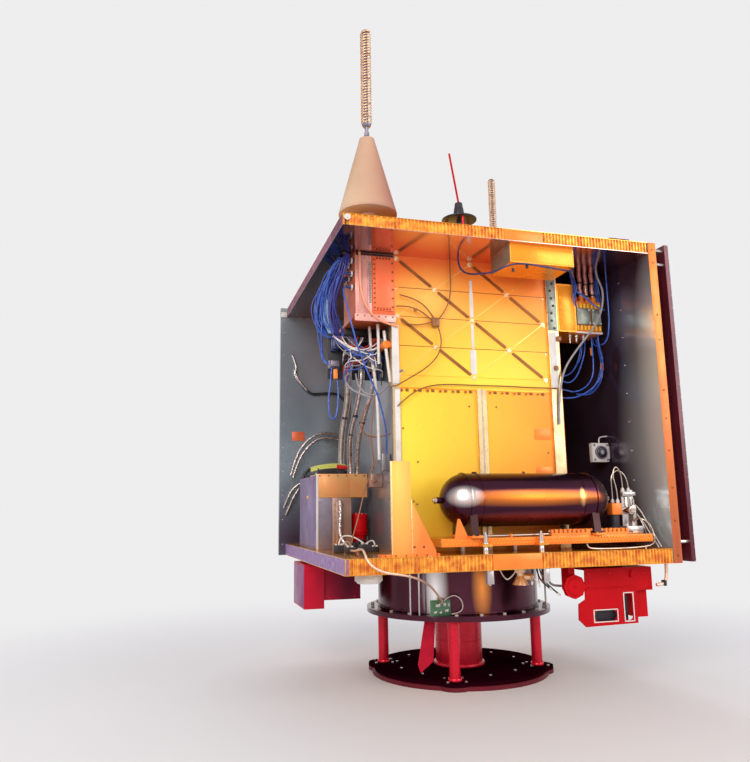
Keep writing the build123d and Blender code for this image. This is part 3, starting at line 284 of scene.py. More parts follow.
@dataclass(frozen=True)
class Finish:
    """A finish: two tones that drift into each other, gloss, fine relief and its usual slot."""

    name: str
    slot: str
    tone: Colour
    other_tone: Colour
    metallic: float = 0.0
    roughness: float = 0.4
    cloud_scale: float = 9.0
    grain: Grain = Grain.FINE
    grain_scale: float = 400.0
    relief: float = 0.15
    coat: float = 0.0
    shine: float = 0.5
    patches: tuple[Patch, ...] = ()

    def build(self, effects: Effects) -> bpy.types.Material:
        """Make the material.

        Args:
            effects: The shared groups.

        Returns:
            The material.
        """
        material = bpy.data.materials.new(self.name)
        material.use_nodes = True
        net = Net(material.node_tree, shader=material.node_tree.nodes["Principled BSDF"])
        net.fill("shader", {"Metallic": self.metallic, "Coat Weight": self.coat, "Coat Roughness": COAT_ROUGHNESS})
        net.fill("shader", {"Specular IOR Level": self.shine})
        net.add("clouds", "Group", {"Scale": self.cloud_scale}, node_tree=effects.clouds)
        net.add("tones", "Mix", {"A": (*self.tone, 1.0), "B": (*self.other_tone, 1.0)}, data_type="RGBA")
        net.join("clouds.Mask > tones.Factor", f"{self.lay_patches(net, effects)} > shader.Base Color")
        net.add(
            "gloss", "MapRange",
            {"To Min": max(LEAST_ROUGHNESS, self.roughness - 0.06), "To Max": self.roughness + 0.08})
        net.join("clouds.Mask > gloss.Value", "gloss.Result > shader.Roughness")
        if self.grain is not Grain.SMOOTH:
            depth = FOIL_DEPTH if self.grain is Grain.FOIL else GRAIN_DEPTH
            net.add("bump", "Bump", {"Strength": self.relief, "Distance": depth})
            net.join(f"{self.add_grain(net, effects)} > bump.Height", "bump.Normal > shader.Normal")
        return material

    def lay_patches(self, net: Net, effects: Effects) -> str:
        """Lay the patches over the drifting tones.

        Args:
            net: Nodes of the material.
            effects: The shared groups.

        Returns:
            The outlet with the colour.
        """
        colour = "tones.Result"
        for number, patch in enumerate(self.patches):
            mask, blend = f"mask{number}", f"blend{number}"
            area = {"Centre": at(*patch.centre), "Reach": Vector(patch.reach) * MM}
            net.add(mask, "Group", area, node_tree=effects.patch)
            net.add(blend, "Mix", {"B": (*patch.tone, 1.0)}, data_type="RGBA")
            net.join(f"{mask}.Mask > {blend}.Factor", f"{colour} > {blend}.A")
            colour = f"{blend}.Result"
        return colour

    def add_grain(self, net: Net, effects: Effects) -> str:
        """Add the nodes of the fine relief.

        Args:
            net: Nodes of the material.
            effects: The shared groups.

        Returns:
            The outlet with the relief's height.
        """
        if self.grain is Grain.FINE:
            net.add("place", "TexCoord")
            net.add("grain", "TexNoise", {"Scale": self.grain_scale})
            net.join("place.Object > grain.Vector")
            return "grain.Fac"
        if self.grain is Grain.BRUSHED:
            net.add("grain", "Group", node_tree=effects.brushed)
            return "grain.Lines"
        net.add("grain", "Group", {"Scale": self.grain_scale}, node_tree=effects.crinkle)
        return "grain.Height"


@dataclass(frozen=True)
class SolarFinish(Finish):
    """Dark cells with pale grid lines on the outer face, and the plain finish on every other side."""

    cell_tone: Colour = (0.012, 0.018, 0.06)
    line_tone: Colour = (0.40, 0.40, 0.44)
    face: Point = (546.0, 0.0, 500.0)
    face_reach: Point = (0.004, 90.0, 90.0)

    def lay_patches(self, net: Net, effects: Effects) -> str:
        """Lay the cells over the plain colour on the outer face.

        Args:
            net: Nodes of the material.
            effects: The shared groups.

        Returns:
            The outlet with the colour.
        """
        plain = super().lay_patches(net, effects)
        net.add("cells", "Group", node_tree=effects.cells)
        net.add("grid", "Mix", {"A": (*self.cell_tone, 1.0), "B": (*self.line_tone, 1.0)}, data_type="RGBA")
        area = {"Centre": at(*self.face), "Reach": self.face_reach}
        net.add("face", "Group", area, node_tree=effects.patch)
        net.add("side", "Mix", data_type="RGBA")
        net.join("cells.Lines > grid.Factor", "face.Mask > side.Factor", f"{plain} > side.A", "grid.Result > side.B")
        return "side.Result"


FINISHES = (
    SolarFinish("solar_face", "solar_cells", (0.12, 0.012, 0.02), (0.08, 0.008, 0.014), 0.2, 0.24, shine=0.5),
    # painted light: a maroon tone on black plates for the red light that falls on them
    Finish("maroon_paint", "black_part", (0.15, 0.012, 0.022), (0.1, 0.008, 0.016), 0.1, 0.42, shine=0.2),
    Finish("black_anodised", "black_plate", (0.02, 0.001, 0.005), (0.012, 0.001, 0.003), 0.0, 0.6, shine=0.0),
    Finish("red_anodised", "red_cover", (0.74, 0.006, 0.03), (0.56, 0.004, 0.022), 0.35, 0.28, shine=0.4),
    # painted highlight and reflections: a white highlight, an orange reflection and a dark reflection on the polished
    # ring
    Finish(
        "ring_polish", "ring_metal", (0.1, 0.028, 0.045), (0.06, 0.016, 0.028), 0.95, 0.2, 5.0, Grain.BRUSHED,
        relief=0.06,
        patches=(
            Patch((1.0, 0.95, 0.94), (-155, -211, -78), (42, 50, 130)),
            Patch((1.0, 0.34, 0.07), (-24, -261, -70), (34, 44, 110)),
            Patch((0.05, 0.012, 0.02), (-236, -112, -70), (60, 90, 160)))),
    Finish("cell_wall", "honeycomb", (1.0, 0.52, 0.07), (0.58, 0.09, 0.02), 0.4, 0.34, 44.0),
    # painted shade: darker copies of the cell walls for the shaded left side of the deck and the roof
    Finish("cell_purple", "honeycomb", (0.34, 0.22, 0.4), (0.2, 0.11, 0.26), 0.4, 0.4, 60.0),
    Finish("cell_maroon", "honeycomb", (0.16, 0.04, 0.07), (0.09, 0.02, 0.05), 0.4, 0.4, 60.0),
    Finish("core_shadow", "honeycomb", (0.36, 0.06, 0.02), (0.24, 0.03, 0.012), 0.2, 0.6, 30.0),
    Finish(
        "face_sheet", "face_sheet", (0.88, 0.42, 0.05), (0.8, 0.28, 0.03), 0.7, 0.2, 6.0, Grain.BRUSHED, relief=0.05),
    # painted shade: darker patches at the back wall's lower left and over its right part
    Finish(
        "back_wall", "wall_sheet", (0.3, 0.36, 0.4), (0.17, 0.19, 0.23), 0.55, 0.3, 3.0, Grain.BRUSHED, relief=0.05,
        patches=(
            Patch((0.08, 0.05, 0.09), (-470, 480, 60), (420, 400, 230)),
            Patch((0.05, 0.036, 0.065), (560, 480, 420), (520, 400, 1100)))),
    # painted reflections: pale patches on the glossy inner face of the right wall
    Finish(
        "side_wall", "wall_sheet", (0.05, 0.028, 0.05), (0.09, 0.06, 0.09), 0.6, 0.2, 4.0, Grain.BRUSHED, relief=0.03,
        patches=(
            Patch((0.8, 0.9, 0.92), (472, -500, 300), (200, 230, 620)),
            Patch((0.26, 0.28, 0.36), (472, -360, 760), (200, 90, 120)),
            Patch((0.95, 1.0, 1.0), (472, -505, 540), (200, 110, 480)))),
    # painted shade: the dark patch darkens the roof's underside along its left edge; the wide patch gives the roof's
    # upper face its gold tone
    Finish(
        "roof_sheet", "face_sheet", (0.8, 0.5, 0.48), (0.88, 0.56, 0.52), 1.0, 0.14, 5.0, Grain.BRUSHED, relief=0.02,
        patches=(
            Patch((0.02, 0.016, 0.045), (-500, -300, 934), (260, 1400, 60)),
            Patch((0.88, 0.42, 0.05), (0, 0, 970), (30000, 30000, 24)))),
    # painted shade: the orange edge strips turn darker along the lower part of the right wall's front edge
    Finish(
        "edge_strip", "orange_box", (0.96, 0.27, 0.03), (0.86, 0.18, 0.02), 0.2, 0.35, 14.0,
        patches=(Patch((0.44, 0.09, 0.03), (486, -500, 40), (60, 60, 620)),)),
    # painted light: the yellow and light orange patches on the gusset and the tower's trays are pools of warm light on
    # the gold metal
    Finish(
        "gusset_gold", "gold_box", (1.0, 0.25, 0.045), (0.94, 0.19, 0.03), 0.3, 0.32, 5.0, Grain.BRUSHED, relief=0.08,
        patches=(Patch((1.0, 0.66, 0.14), (-352, -484, 250), (80, 200, 260)),)),
    Finish(
        "gold_tray", "gold_box", (0.96, 0.26, 0.012), (0.94, 0.22, 0.01), 0.1, 0.32, 5.0, Grain.BRUSHED, relief=0.08,
        shine=0.3, patches=(Patch((1.0, 0.74, 0.06), (-300, -300, 330), (560, 900, 900)),)),
    Finish(
        "gold_upper", "gold_box", (0.96, 0.19, 0.035), (0.94, 0.155, 0.028), 0.1, 0.34, 5.0, Grain.BRUSHED,
        relief=0.08, shine=0.3,
        patches=(
            Patch((1.0, 0.76, 0.06), (0, -300, 500), (640, 900, 440)),
            Patch((1.0, 0.5, 0.1), (-180, -300, 800), (160, 900, 120)))),
    Finish("rib_brown", "silver", (0.2, 0.06, 0.012), (0.34, 0.11, 0.02), 0.4, 0.4, 20.0),
    Finish(
        "rail_metal", "rib_metal", (0.74, 0.55, 0.3), (0.52, 0.36, 0.2), 0.8, 0.28, 18.0, Grain.BRUSHED, relief=0.06),
    Finish("coral_box", "red_cover", (0.82, 0.17, 0.05), (0.66, 0.11, 0.04), 0.25, 0.36, 12.0),
    Finish(
        "pale_metal", "silver", (0.66, 0.6, 0.58), (0.48, 0.42, 0.42), 0.85, 0.26, 22.0, Grain.BRUSHED, relief=0.06),
    Finish("grey_box", "silver", (0.24, 0.21, 0.25), (0.17, 0.14, 0.18), 0.5, 0.38, 14.0),
    # painted reflections and highlights: an orange band, a white highlight on the left dome, a yellow glint at the
    # right end and a lighter band lower down on the polished tank
    Finish(
        "tank_polish", "tank_metal", (0.06, 0.016, 0.032), (0.035, 0.01, 0.022), 0.95, 0.28, 4.0, Grain.BRUSHED,
        relief=0.05,
        patches=(
            Patch((1.0, 0.27, 0.03), (40, -474, 191), (290, 70, 27)),
            Patch((1.0, 0.95, 0.92), (-152, -462, 196), (58, 60, 32)),
            Patch((1.0, 0.6, 0.2), (206, -472, 192), (12, 60, 30)),
            Patch((0.34, 0.07, 0.08), (60, -452, 134), (260, 60, 24)))),
    Finish("saddle_dark", "silver", (0.05, 0.012, 0.012), (0.03, 0.008, 0.01), 0.5, 0.4, 12.0),
    # painted shade: the dark red patch shades the right side of the left cone
    Finish(
        "cream_radome", "cream_cone", (0.72, 0.51, 0.34), (0.64, 0.44, 0.29), 0.0, 0.55, 8.0, shine=0.2,
        patches=(Patch((0.3, 0.05, 0.045), (-300, -400, 1050), (190, 400, 560)),)),
    Finish("gold_wire", "silver", (0.9, 0.62, 0.4), (0.62, 0.36, 0.2), 0.8, 0.26, 60.0),
    Finish("black_part", "black_part", (0.02, 0.018, 0.022), (0.035, 0.03, 0.04), 0.1, 0.46, shine=0.3),
    Finish("bright_red", "red_cover", (0.52, 0.002, 0.007), (0.43, 0.002, 0.006), 0.0, 0.46, 9.0, shine=0.1),
    Finish(
        "lens_glass", "black_part", (0.008, 0.008, 0.016), (0.014, 0.01, 0.024), 0.0, 0.08, 60.0, Grain.SMOOTH,
        coat=1.0),
    Finish(
        "red_streamer", "red_fabric", (0.56, 0.004, 0.03), (0.42, 0.003, 0.022), 0.0, 0.6, 30.0, grain_scale=900.0,
        shine=0.2),
    Finish("white_part", "white_part", (0.74, 0.7, 0.66), (0.62, 0.57, 0.54), 0.0, 0.42, 24.0),
    Finish("steel_tube", "steel_tube", (0.6, 0.5, 0.44), (0.42, 0.33, 0.28), 0.95, 0.2, 40.0),
    Finish("foil_wrap", "foil_wrap", (0.66, 0.58, 0.54), (0.4, 0.33, 0.32), 0.9, 0.26, 90.0, Grain.FOIL, 260.0, 0.8),
    Finish(
        "blue_jacket", "blue_coax", (0.02, 0.06, 0.36), (0.03, 0.12, 0.52), 0.0, 0.28, 60.0, Grain.SMOOTH, coat=0.3),
    Finish("navy_jacket", "blue_coax", (0.03, 0.04, 0.22), (0.05, 0.04, 0.3), 0.0, 0.3, 60.0, Grain.SMOOTH),
    Finish("coil_jacket", "gold_wire", (0.62, 0.6, 0.14), (0.46, 0.5, 0.12), 0.0, 0.4, 60.0, Grain.SMOOTH),
    Finish("pale_blue_jacket", "blue_coax", (0.26, 0.42, 0.66), (0.18, 0.32, 0.56), 0.0, 0.3, 60.0, Grain.SMOOTH),
    Finish("navy_plug", "gold_wire", (0.02, 0.025, 0.1), (0.03, 0.04, 0.16), 0.1, 0.3, 60.0, Grain.SMOOTH),
    Finish("grey_jacket", "grey_lead", (0.24, 0.23, 0.25), (0.34, 0.31, 0.33), 0.0, 0.4, 60.0, Grain.SMOOTH),
    Finish("black_jacket", "black_lead", (0.015, 0.014, 0.018), (0.03, 0.026, 0.03), 0.0, 0.32, 60.0, Grain.SMOOTH),
    Finish("brown_jacket", "brown_lead", (0.22, 0.075, 0.02), (0.32, 0.12, 0.03), 0.0, 0.36, 60.0, Grain.SMOOTH),
    Finish("white_jacket", "white_part", (0.76, 0.72, 0.68), (0.66, 0.6, 0.56), 0.0, 0.36, 60.0, Grain.SMOOTH),
    Finish("red_jacket", "red_cover", (0.6, 0.02, 0.02), (0.46, 0.014, 0.016), 0.0, 0.34, 60.0, Grain.SMOOTH),
    Finish("yellow_tape", "orange_box", (0.9, 0.52, 0.05), (0.82, 0.4, 0.03), 0.0, 0.42, 60.0),
    Finish("green_board", "green_board", (0.05, 0.16, 0.08), (0.08, 0.22, 0.11), 0.0, 0.36, 60.0),
    Finish("pink_metal", "orange_box", (0.8, 0.4, 0.34), (0.62, 0.27, 0.24), 0.4, 0.33, 16.0),
    # painted light: bright tone for the lit side of the rising tray ribs
    Finish("tray_line", "rib_metal", (0.98, 0.62, 0.16), (0.9, 0.5, 0.1), 0.5, 0.3, 30.0),
    Finish("pad_metal", "rib_metal", (0.98, 0.72, 0.4), (0.9, 0.6, 0.3), 0.6, 0.26, 30.0),
    Finish("seam_gold", "gold_box", (1.0, 0.38, 0.016), (0.96, 0.28, 0.012), 0.4, 0.28, 8.0),
    Finish("rail_green", "silver", (0.3, 0.32, 0.26), (0.2, 0.21, 0.18), 0.6, 0.34, 30.0, Grain.BRUSHED, relief=0.08),
    Finish("coral_lid", "orange_box", (1.0, 0.2, 0.07), (0.92, 0.15, 0.05), 0.15, 0.36, 8.0),
    Finish("bridge_orange", "orange_box", (0.78, 0.3, 0.1), (0.58, 0.34, 0.12), 0.3, 0.4, 9.0),
    Finish("tan_metal", "orange_box", (0.38, 0.23, 0.18), (0.3, 0.18, 0.14), 0.5, 0.36, 18.0),
    Finish("grey_sheet", "silver", (0.3, 0.29, 0.31), (0.22, 0.21, 0.24), 0.6, 0.34, 8.0, Grain.BRUSHED, relief=0.06),
    Finish("pink_foil", "foil_wrap", (0.66, 0.34, 0.28), (0.44, 0.2, 0.18), 0.6, 0.32, 70.0, Grain.FOIL, 240.0, 0.6),
    Finish("coral_jacket", "orange_box", (0.9, 0.36, 0.2), (0.8, 0.28, 0.15), 0.0, 0.36, 60.0, Grain.SMOOTH),
    Finish("cover_side", "red_cover", (0.3, 0.04, 0.2), (0.22, 0.02, 0.14), 0.0, 0.4, 12.0),
    Finish("lead_foil", "foil_wrap", (0.95, 0.66, 0.5), (0.8, 0.48, 0.34), 0.5, 0.34, 90.0, Grain.FOIL, 260.0, 0.8),
    # painted shade: the left cover turns dark towards its back under the deck
    Finish(
        "left_cover_red", "red_cover", (0.62, 0.004, 0.03), (0.5, 0.003, 0.03), 0.0, 0.42, 9.0, shine=0.2,
        patches=(Patch((0.1, 0.004, 0.03), (-340, 130, -70), (130, 400, 300)),)),
    # painted shade: purple tone for the shaded left faces of the grey corner box
    Finish("purple_side", "grey_box", (0.22, 0.13, 0.3), (0.15, 0.08, 0.2), 0.3, 0.4, 12.0),
)

# Nodes that keep their shape or lie under a piece, by finish
NODE_FINISHES = {
    # painted light: the black base disc takes the maroon of the red light on its rim
    "maroon_paint": "stand_disc",
    "black_anodised": "stand_plate",
    "red_anodised": "stand_posts stand_column",
    "red_streamer": "red_tag",
    "ring_polish": "separation_ring",
    "pale_metal": "ring_rods solar_standoffs side_plate tray_standoffs valve_bracket sensor_frame thruster",
    "face_sheet": "bottom_panel propulsion_tray",
    "roof_sheet": "top_panel",
    "cell_wall": "bottom_core top_core",
    "back_wall": "back_panel",
    "side_wall": "right_panel",
    "solar_face": "solar_panel",
    "gold_tray": "tower_lower",
    "gold_upper": "tower_trays",
    "rib_brown": "tower_ribs",
    "rail_metal": "tower_rails",
    "coral_box": "radio_module radio_lid left_shelf terminal_column",
    "black_part": "harness_panel deck_plugs disc_antenna top_plate",
    "gold_wire": "coax_plugs helix_antennas",
    "blue_jacket": "left_coax right_coax",
    "foil_wrap": "foil_trunks upper_harness corner_leads",
    "grey_box": "corner_unit connector_block",
    "bright_red": "wheel_housing whip_rod right_cover nozzle_cap",
    "gusset_gold": "gusset_bracket",
    "seam_gold": "ceiling_box right_module",
    "grey_jacket": "right_lead",
    "brown_jacket": "face_cables",
    "tank_polish": "pressure_tank",
    "saddle_dark": "tank_saddles",
    "edge_strip": "pipe_comb",
    "steel_tube": "tank_pipes",
    "cream_radome": "antenna_cones",
    "left_cover_red": "left_cover",
    "white_part": "deck_sensor",
    "black_jacket": "test_lead",
    "green_board": "lead_board",
}


# Modelling


class Form:
    """A bmesh that grows from boxes, round bars and screws, in millimetres."""

    def __init__(self) -> None:
        """Start empty."""
        self.mesh = bmesh.new()

    def bevel(self, edges: Iterable[bmesh.types.BMEdge], width: float, segments: int = 2) -> None:
        """Round edges.

        Args:
            edges: The edges.
            width: Width of the bevel.
            segments: Faces across the bevel.
        """
        if width > 0:
            bmesh.ops.bevel(
                self.mesh, geom=list(edges), offset=width * MM, offset_type="OFFSET", segments=segments, profile=0.5,
                affect="EDGES", material=-1)

    def box(self, x: Sequence[float], y: Sequence[float], h: Sequence[float], bevel: float = 0.0) -> Form:
        """Add a box.

        Args:
            x: Left and right limits.
            y: Front and back limits.
            h: Lower and upper limits.
            bevel: Width of the bevel along its edges.

        Returns:
            The form.
        """
        low, high = at(x[0], y[0], h[0]), at(x[1], y[1], h[1])
        place = Matrix.Translation((low + high) / 2) @ Matrix.Diagonal((*(high - low), 1.0))
        made = bmesh.ops.create_cube(self.mesh, size=1.0, matrix=place)
        self.bevel({edge for vert in made["verts"] for edge in vert.link_edges}, bevel)
        return self

    def cylinder(
        self, start: Point, end: Point, radius: float, end_radius: float | None, sides: int
    ) -> set[bmesh.types.BMFace]:
        """Add a cylinder or cone between two points.

        Args:
            start: Middle of the first end.
            end: Middle of the other end.
            radius: Radius at the start.
            end_radius: Radius at the end, or None for the same.
            sides: Number of sides.

        Returns:
            Its two end faces.
        """
        first, last = at(*start), at(*end)
        turn = (last - first).to_track_quat("Z", "Y").to_matrix().to_4x4()
        made = bmesh.ops.create_cone(
            self.mesh, cap_ends=True, cap_tris=False, segments=sides, radius1=radius * MM,
            radius2=(radius if end_radius is None else end_radius) * MM, depth=(last - first).length,
            matrix=Matrix.Translation((first + last) / 2) @ turn)
        return {face for vert in made["verts"] for face in vert.link_faces if len(face.verts) == sides}

    def bar(
        self, start: Point, end: Point, radius: float, end_radius: float | None = None, sides: int = 20,
        bevel: float = 0.0,
    ) -> Form:
        """Add a round bar or cone between two points.

        Args:
            start: Middle of the first end.
            end: Middle of the other end.
            radius: Radius at the start.
            end_radius: Radius at the end, or None for the same.
            sides: Number of sides.
            bevel: Width of the bevel at both ends.

        Returns:
            The form.
        """
        caps = self.cylinder(start, end, radius, end_radius, sides)
        self.bevel({edge for face in caps for edge in face.edges}, bevel)
        return self

    def screws(
        self, places: Iterable[Point], radius: float = 3.2, height: float = 2.4, out: Point = FRONT, sides: int = 10
    ) -> Form:
        """Add a socket-head screw at each place.

        Args:
            places: Seats of the heads.
            radius: Radius of a head.
            height: Height of a head.
            out: Direction in which the heads point.
            sides: Number of sides of a head.

        Returns:
            The form.
        """
        ahead = Vector(out)
        for place in places:
            head = Vector(place) + ahead * height
            caps = self.cylinder(place, head, radius, None, sides)
            tip = at(*head)
            top = min(caps, key=lambda face: (face.calc_center_median() - tip).length)
            bmesh.ops.inset_region(self.mesh, faces=[top], thickness=radius * SOCKET_RIM * MM)
            pushed = bmesh.ops.extrude_discrete_faces(self.mesh, faces=[top])["faces"][0]
            bmesh.ops.translate(self.mesh, verts=pushed.verts, vec=-ahead * height * SOCKET_DEPTH * MM)
        return self


def new_object(name: str, data: bpy.types.ID) -> bpy.types.Object:
    """Put an object in the scene.

    Args:
        name: Its name.
        data: Its mesh, curve, lamp or camera.

    Returns:
        The object.
    """
    made = bpy.data.objects.new(name, data)
    bpy.context.collection.objects.link(made)
    return made


def spaced(first: float, last: float, count: int) -> list[float]:
    """Give evenly spaced values.

    Args:
        first: First value.
        last: Last value.
        count: How many values.

    Returns:
        The values from first to last.
    """
    return [first + (last - first) * i / (count - 1) for i in range(count)]


def circle(x: float, y: float, radius: float, count: int, first: float) -> list[tuple[float, float]]:
    """Give evenly spaced points on a circle.

    Args:
        x: X of its centre.
        y: Y of its centre.
        radius: Its radius.
        count: How many points.
        first: Direction of the first one, in radians.

    Returns:
        X and Y of each point.
    """
    turns = [first + 2 * math.pi * i / count for i in range(count)]
    return [(x + radius * math.cos(turn), y + radius * math.sin(turn)) for turn in turns]


@dataclass(frozen=True)
class Extent:
    """Limits of a CAD node in millimetres, heights above the deck's underside."""

    left: float
    right: float
    front: float
    back: float
    foot: float
    head: float

    @property
    def x(self) -> tuple[float, float]:
        """Left and right limits."""
        return self.left, self.right

    @property
    def y(self) -> tuple[float, float]:
        """Front and back limits."""
        return self.front, self.back

    @property
    def h(self) -> tuple[float, float]:
        """Lower and upper limits."""
        return self.foot, self.head

    @property
    def middle(self) -> Point:
        """The node's middle."""
        return (self.left + self.right) / 2, (self.front + self.back) / 2, (self.foot + self.head) / 2


def limits(node: str) -> Extent:
    """Read a CAD node's limits from the frame.

    Args:
        node: Name of the node.

    Returns:
        Its limits.
    """
    low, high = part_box(node)
    return Extent(low.x / MM, high.x / MM, low.y / MM, high.y / MM, (low.z - DECK) / MM, (high.z - DECK) / MM)


@dataclass
class Assembly:
    """A sub-assembly, which hands its pieces over to the satellite."""

    materials: dict[str, bpy.types.Material]

    def hand_over(
        self, name: str, data: bpy.types.ID, finish: str, replaces: Sequence[str]
    ) -> bpy.types.Object:
        """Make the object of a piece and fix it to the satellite.

        Args:
            name: Name of the piece.
            data: Its mesh or curve.
            finish: Name of its finish.
            replaces: CAD nodes that the piece stands for.

        Returns:
            The piece.
        """
        data.materials.append(self.materials[finish])
        piece = new_object(name, data)
        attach(piece, "root")
        if replaces:
            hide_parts(*replaces)
        LOG.info("made %s", name)
        return piece

    def solid(
        self, name: str, finish: str, form: Form, slot: str = "", replaces: Sequence[str] = (), sharp: float = 40.0
    ) -> bpy.types.Object:
        """Turn a form into a piece with smooth round faces and sharp edges.

        Args:
            name: Name of the piece.
            finish: Name of its finish.
            form: Its shape, which is freed.
            slot: Not used.
            replaces: CAD nodes that the piece stands for.
            sharp: Angle in degrees from which an edge stays sharp.

        Returns:
            The piece.
        """
        mesh = form.mesh
        bmesh.ops.recalc_face_normals(mesh, faces=mesh.faces)
        for face in mesh.faces:
            face.smooth = True
        for edge in mesh.edges:
            edge.smooth = len(edge.link_faces) != 2 or edge.calc_face_angle() < math.radians(sharp)
        data = bpy.data.meshes.new(name)
        mesh.to_mesh(data)
        mesh.free()
        return self.hand_over(name, data, finish, replaces)

    def leads(
        self, name: str, routes: Iterable[Sequence[Point]], radius: float, finish: str, slot: str = "",
        replaces: Sequence[str] = (), rounds: int = 3,
    ) -> bpy.types.Object:
        """Make cables, each a smooth curve near its route's points.

        Args:
            name: Name of the piece.
            routes: Points of each cable.
            radius: Radius of the cables.
            finish: Name of their finish.
            slot: Not used.
            replaces: CAD nodes that the piece stands for.
            rounds: Fineness of the round section.

        Returns:
            The piece.
        """
        curve = bpy.data.curves.new(name, "CURVE")
        curve.dimensions = "3D"
        curve.bevel_depth = radius * MM
        curve.bevel_resolution = rounds
        curve.resolution_u = CURVE_STEPS
        curve.use_fill_caps = True
        for route in routes:
            spline = curve.splines.new("NURBS")
            spline.points.add(len(route) - 1)
            for point, place in zip(spline.points, route):
                point.co = (*at(*place), 1.0)
            spline.order_u = 3
            spline.use_endpoint_u = True
        return self.hand_over(name, curve, finish, replaces)


# Studio


@dataclass
class Studio:
    """Floor, lamps, backdrop and the camera that stands where the photograph was taken."""

    camera_place: Point = (-0.9286, -2.3110, 0.5178)
    heading: float = 15.846
    rise: float = 10.195
    roll: float = -0.837
    lens: float = 34.46
    floor_size: float = 40.0
    aim: Point = (0.0, 0.0, 0.8)
    key_power: float = 130.0
    fill_power: float = 72.0
    floor_tone: Colour = (0.82, 0.80, 0.80)
    fade_reach: float = 2.4
    sky_tone: Colour = (0.92, 0.93, 1.0)
    sky_power: float = 0.42
    far_tone: Colour = (0.86, 0.85, 0.86)

    def build(self) -> None:
        """Make the floor, the light and the camera."""
        self.make_floor()
        self.make_world()
        self.make_lamp("key_lamp", (-2.4, -3.7, 2.3), 2.4, self.key_power, (1.0, 0.97, 0.93))
        self.make_lamp("fill_lamp", (2.8, -3.2, 2.0), 2.4, self.fill_power, (1.0, 0.98, 0.96))
        self.make_lamp("back_lamp", (0.6, 3.4, 3.4), 2.6, self.fill_power, (0.98, 0.98, 1.0))
        self.make_camera()
        bpy.context.scene.view_settings.view_transform = "Standard"

    def make_floor(self) -> None:
        """Make the pale bench top, which keeps the object's shadow and fades into the backdrop away from it."""
        mesh = bmesh.new()
        bmesh.ops.create_grid(mesh, x_segments=1, y_segments=1, size=self.floor_size / 2)
        data = bpy.data.meshes.new("bench_top")
        mesh.to_mesh(data)
        mesh.free()
        floor = new_object("bench_top", data)
        material = bpy.data.materials.new("pale_floor")
        material.use_nodes = True
        data.materials.append(material)
        nodes = material.node_tree.nodes
        net = Net(material.node_tree, shader=nodes["Principled BSDF"], output=nodes["Material Output"])
        net.fill("shader", {"Base Color": (*self.floor_tone, 1.0), "Roughness": 0.7})
        net.add("place", "TexCoord")
        net.add("span", "Mapping", {"Scale": (self.fade_reach,) * 3}, vector_type="TEXTURE")
        net.add("ball", "TexGradient", gradient_type="SPHERICAL")
        falloff = {"From Max": 0.7, "To Min": 1.0, "To Max": 0.0}
        net.add("near", "MapRange", falloff, interpolation_type="SMOOTHSTEP")
        net.add("seen", "Math", operation="MULTIPLY")
        net.add("far", "Emission", {"Color": (*self.far_tone, 1.0)})
        net.add("mix", "MixShader")
        net.join(
            "place.Object > span.Vector", "span.Vector > ball.Vector", "ball.Fac > near.Value", "near.Result > seen.0",
            f"{self.add_backdrop_rays(net)} > seen.1", "seen.Value > mix.Fac", "shader.BSDF > mix.1",
            "far.Emission > mix.2", "mix.Shader > output.Surface")

    def add_backdrop_rays(self, net: Net) -> str:
        """Mark the rays that show the pale backdrop: from the camera, off metal and through glass.

        Args:
            net: Nodes of the material or world.

        Returns:
            The outlet that is 1 for such a ray.
        """
        net.add("path", "LightPath")
        net.add("metal", "Math", operation="MAXIMUM")
        net.add("glass", "Math", operation="MAXIMUM")
        net.join(
            "path.Is Camera Ray > metal.0", "path.Is Glossy Ray > metal.1", "metal.Value > glass.0",
            "path.Is Transmission Ray > glass.1")
        return "glass.Value"

    def make_world(self) -> None:
        """Make a plain pale surrounding that lights the object softly."""
        world = bpy.context.scene.world = bpy.data.worlds.new("studio")
        world.use_nodes = True
        nodes = world.node_tree.nodes
        net = Net(world.node_tree, light=nodes["Background"], output=nodes["World Output"])
        net.fill("light", {"Color": (*self.sky_tone, 1.0), "Strength": self.sky_power})
        net.add("seen", "Background", {"Color": (*self.far_tone, 1.0), "Strength": 1.0})
        net.add("mix", "MixShader")
        net.join(
            f"{self.add_backdrop_rays(net)} > mix.Fac", "light.Background > mix.1", "seen.Background > mix.2",
            "mix.Shader > output.Surface")

    def make_lamp(self, name: str, place: Point, size: float, power: float, tint: Colour) -> None:
        """Hang a square soft lamp that faces the satellite.

        Args:
            name: Name of the lamp.
            place: Where it hangs.
            size: Side of its square.
            power: Power in watts.
            tint: Colour of its light.
        """
        data = bpy.data.lights.new(name, "AREA")
        data.size = size
        data.energy = power
        data.color = tint
        lamp = new_object(name, data)
        lamp.location = place
        ahead = Vector(self.aim) - Vector(place)
        lamp.rotation_euler = ahead.to_track_quat("-Z", "Y").to_euler()

    def make_camera(self) -> None:
        """Set the camera at the photograph's place and angle."""
        data = bpy.data.cameras.new("camera")
        data.sensor_fit = "HORIZONTAL"
        data.sensor_width = 36.0
        data.lens = self.lens
        data.clip_start = 0.05
        camera = new_object("camera", data)
        yaw, pitch, roll = (math.radians(v) for v in (self.heading, self.rise, self.roll))
        ahead = Vector((math.sin(yaw) * math.cos(pitch), math.cos(yaw) * math.cos(pitch), math.sin(pitch)))
        level = Vector((math.cos(yaw), -math.sin(yaw), 0.0))
        over = level.cross(ahead)
        right = level * math.cos(roll) + over * math.sin(roll)
        up = over * math.cos(roll) - level * math.sin(roll)
        turn = Matrix((right, up, -ahead)).transposed()
        camera.matrix_world = Matrix.Translation(self.camera_place) @ turn.to_4x4()
        bpy.context.scene.camera = camera


# Body panels


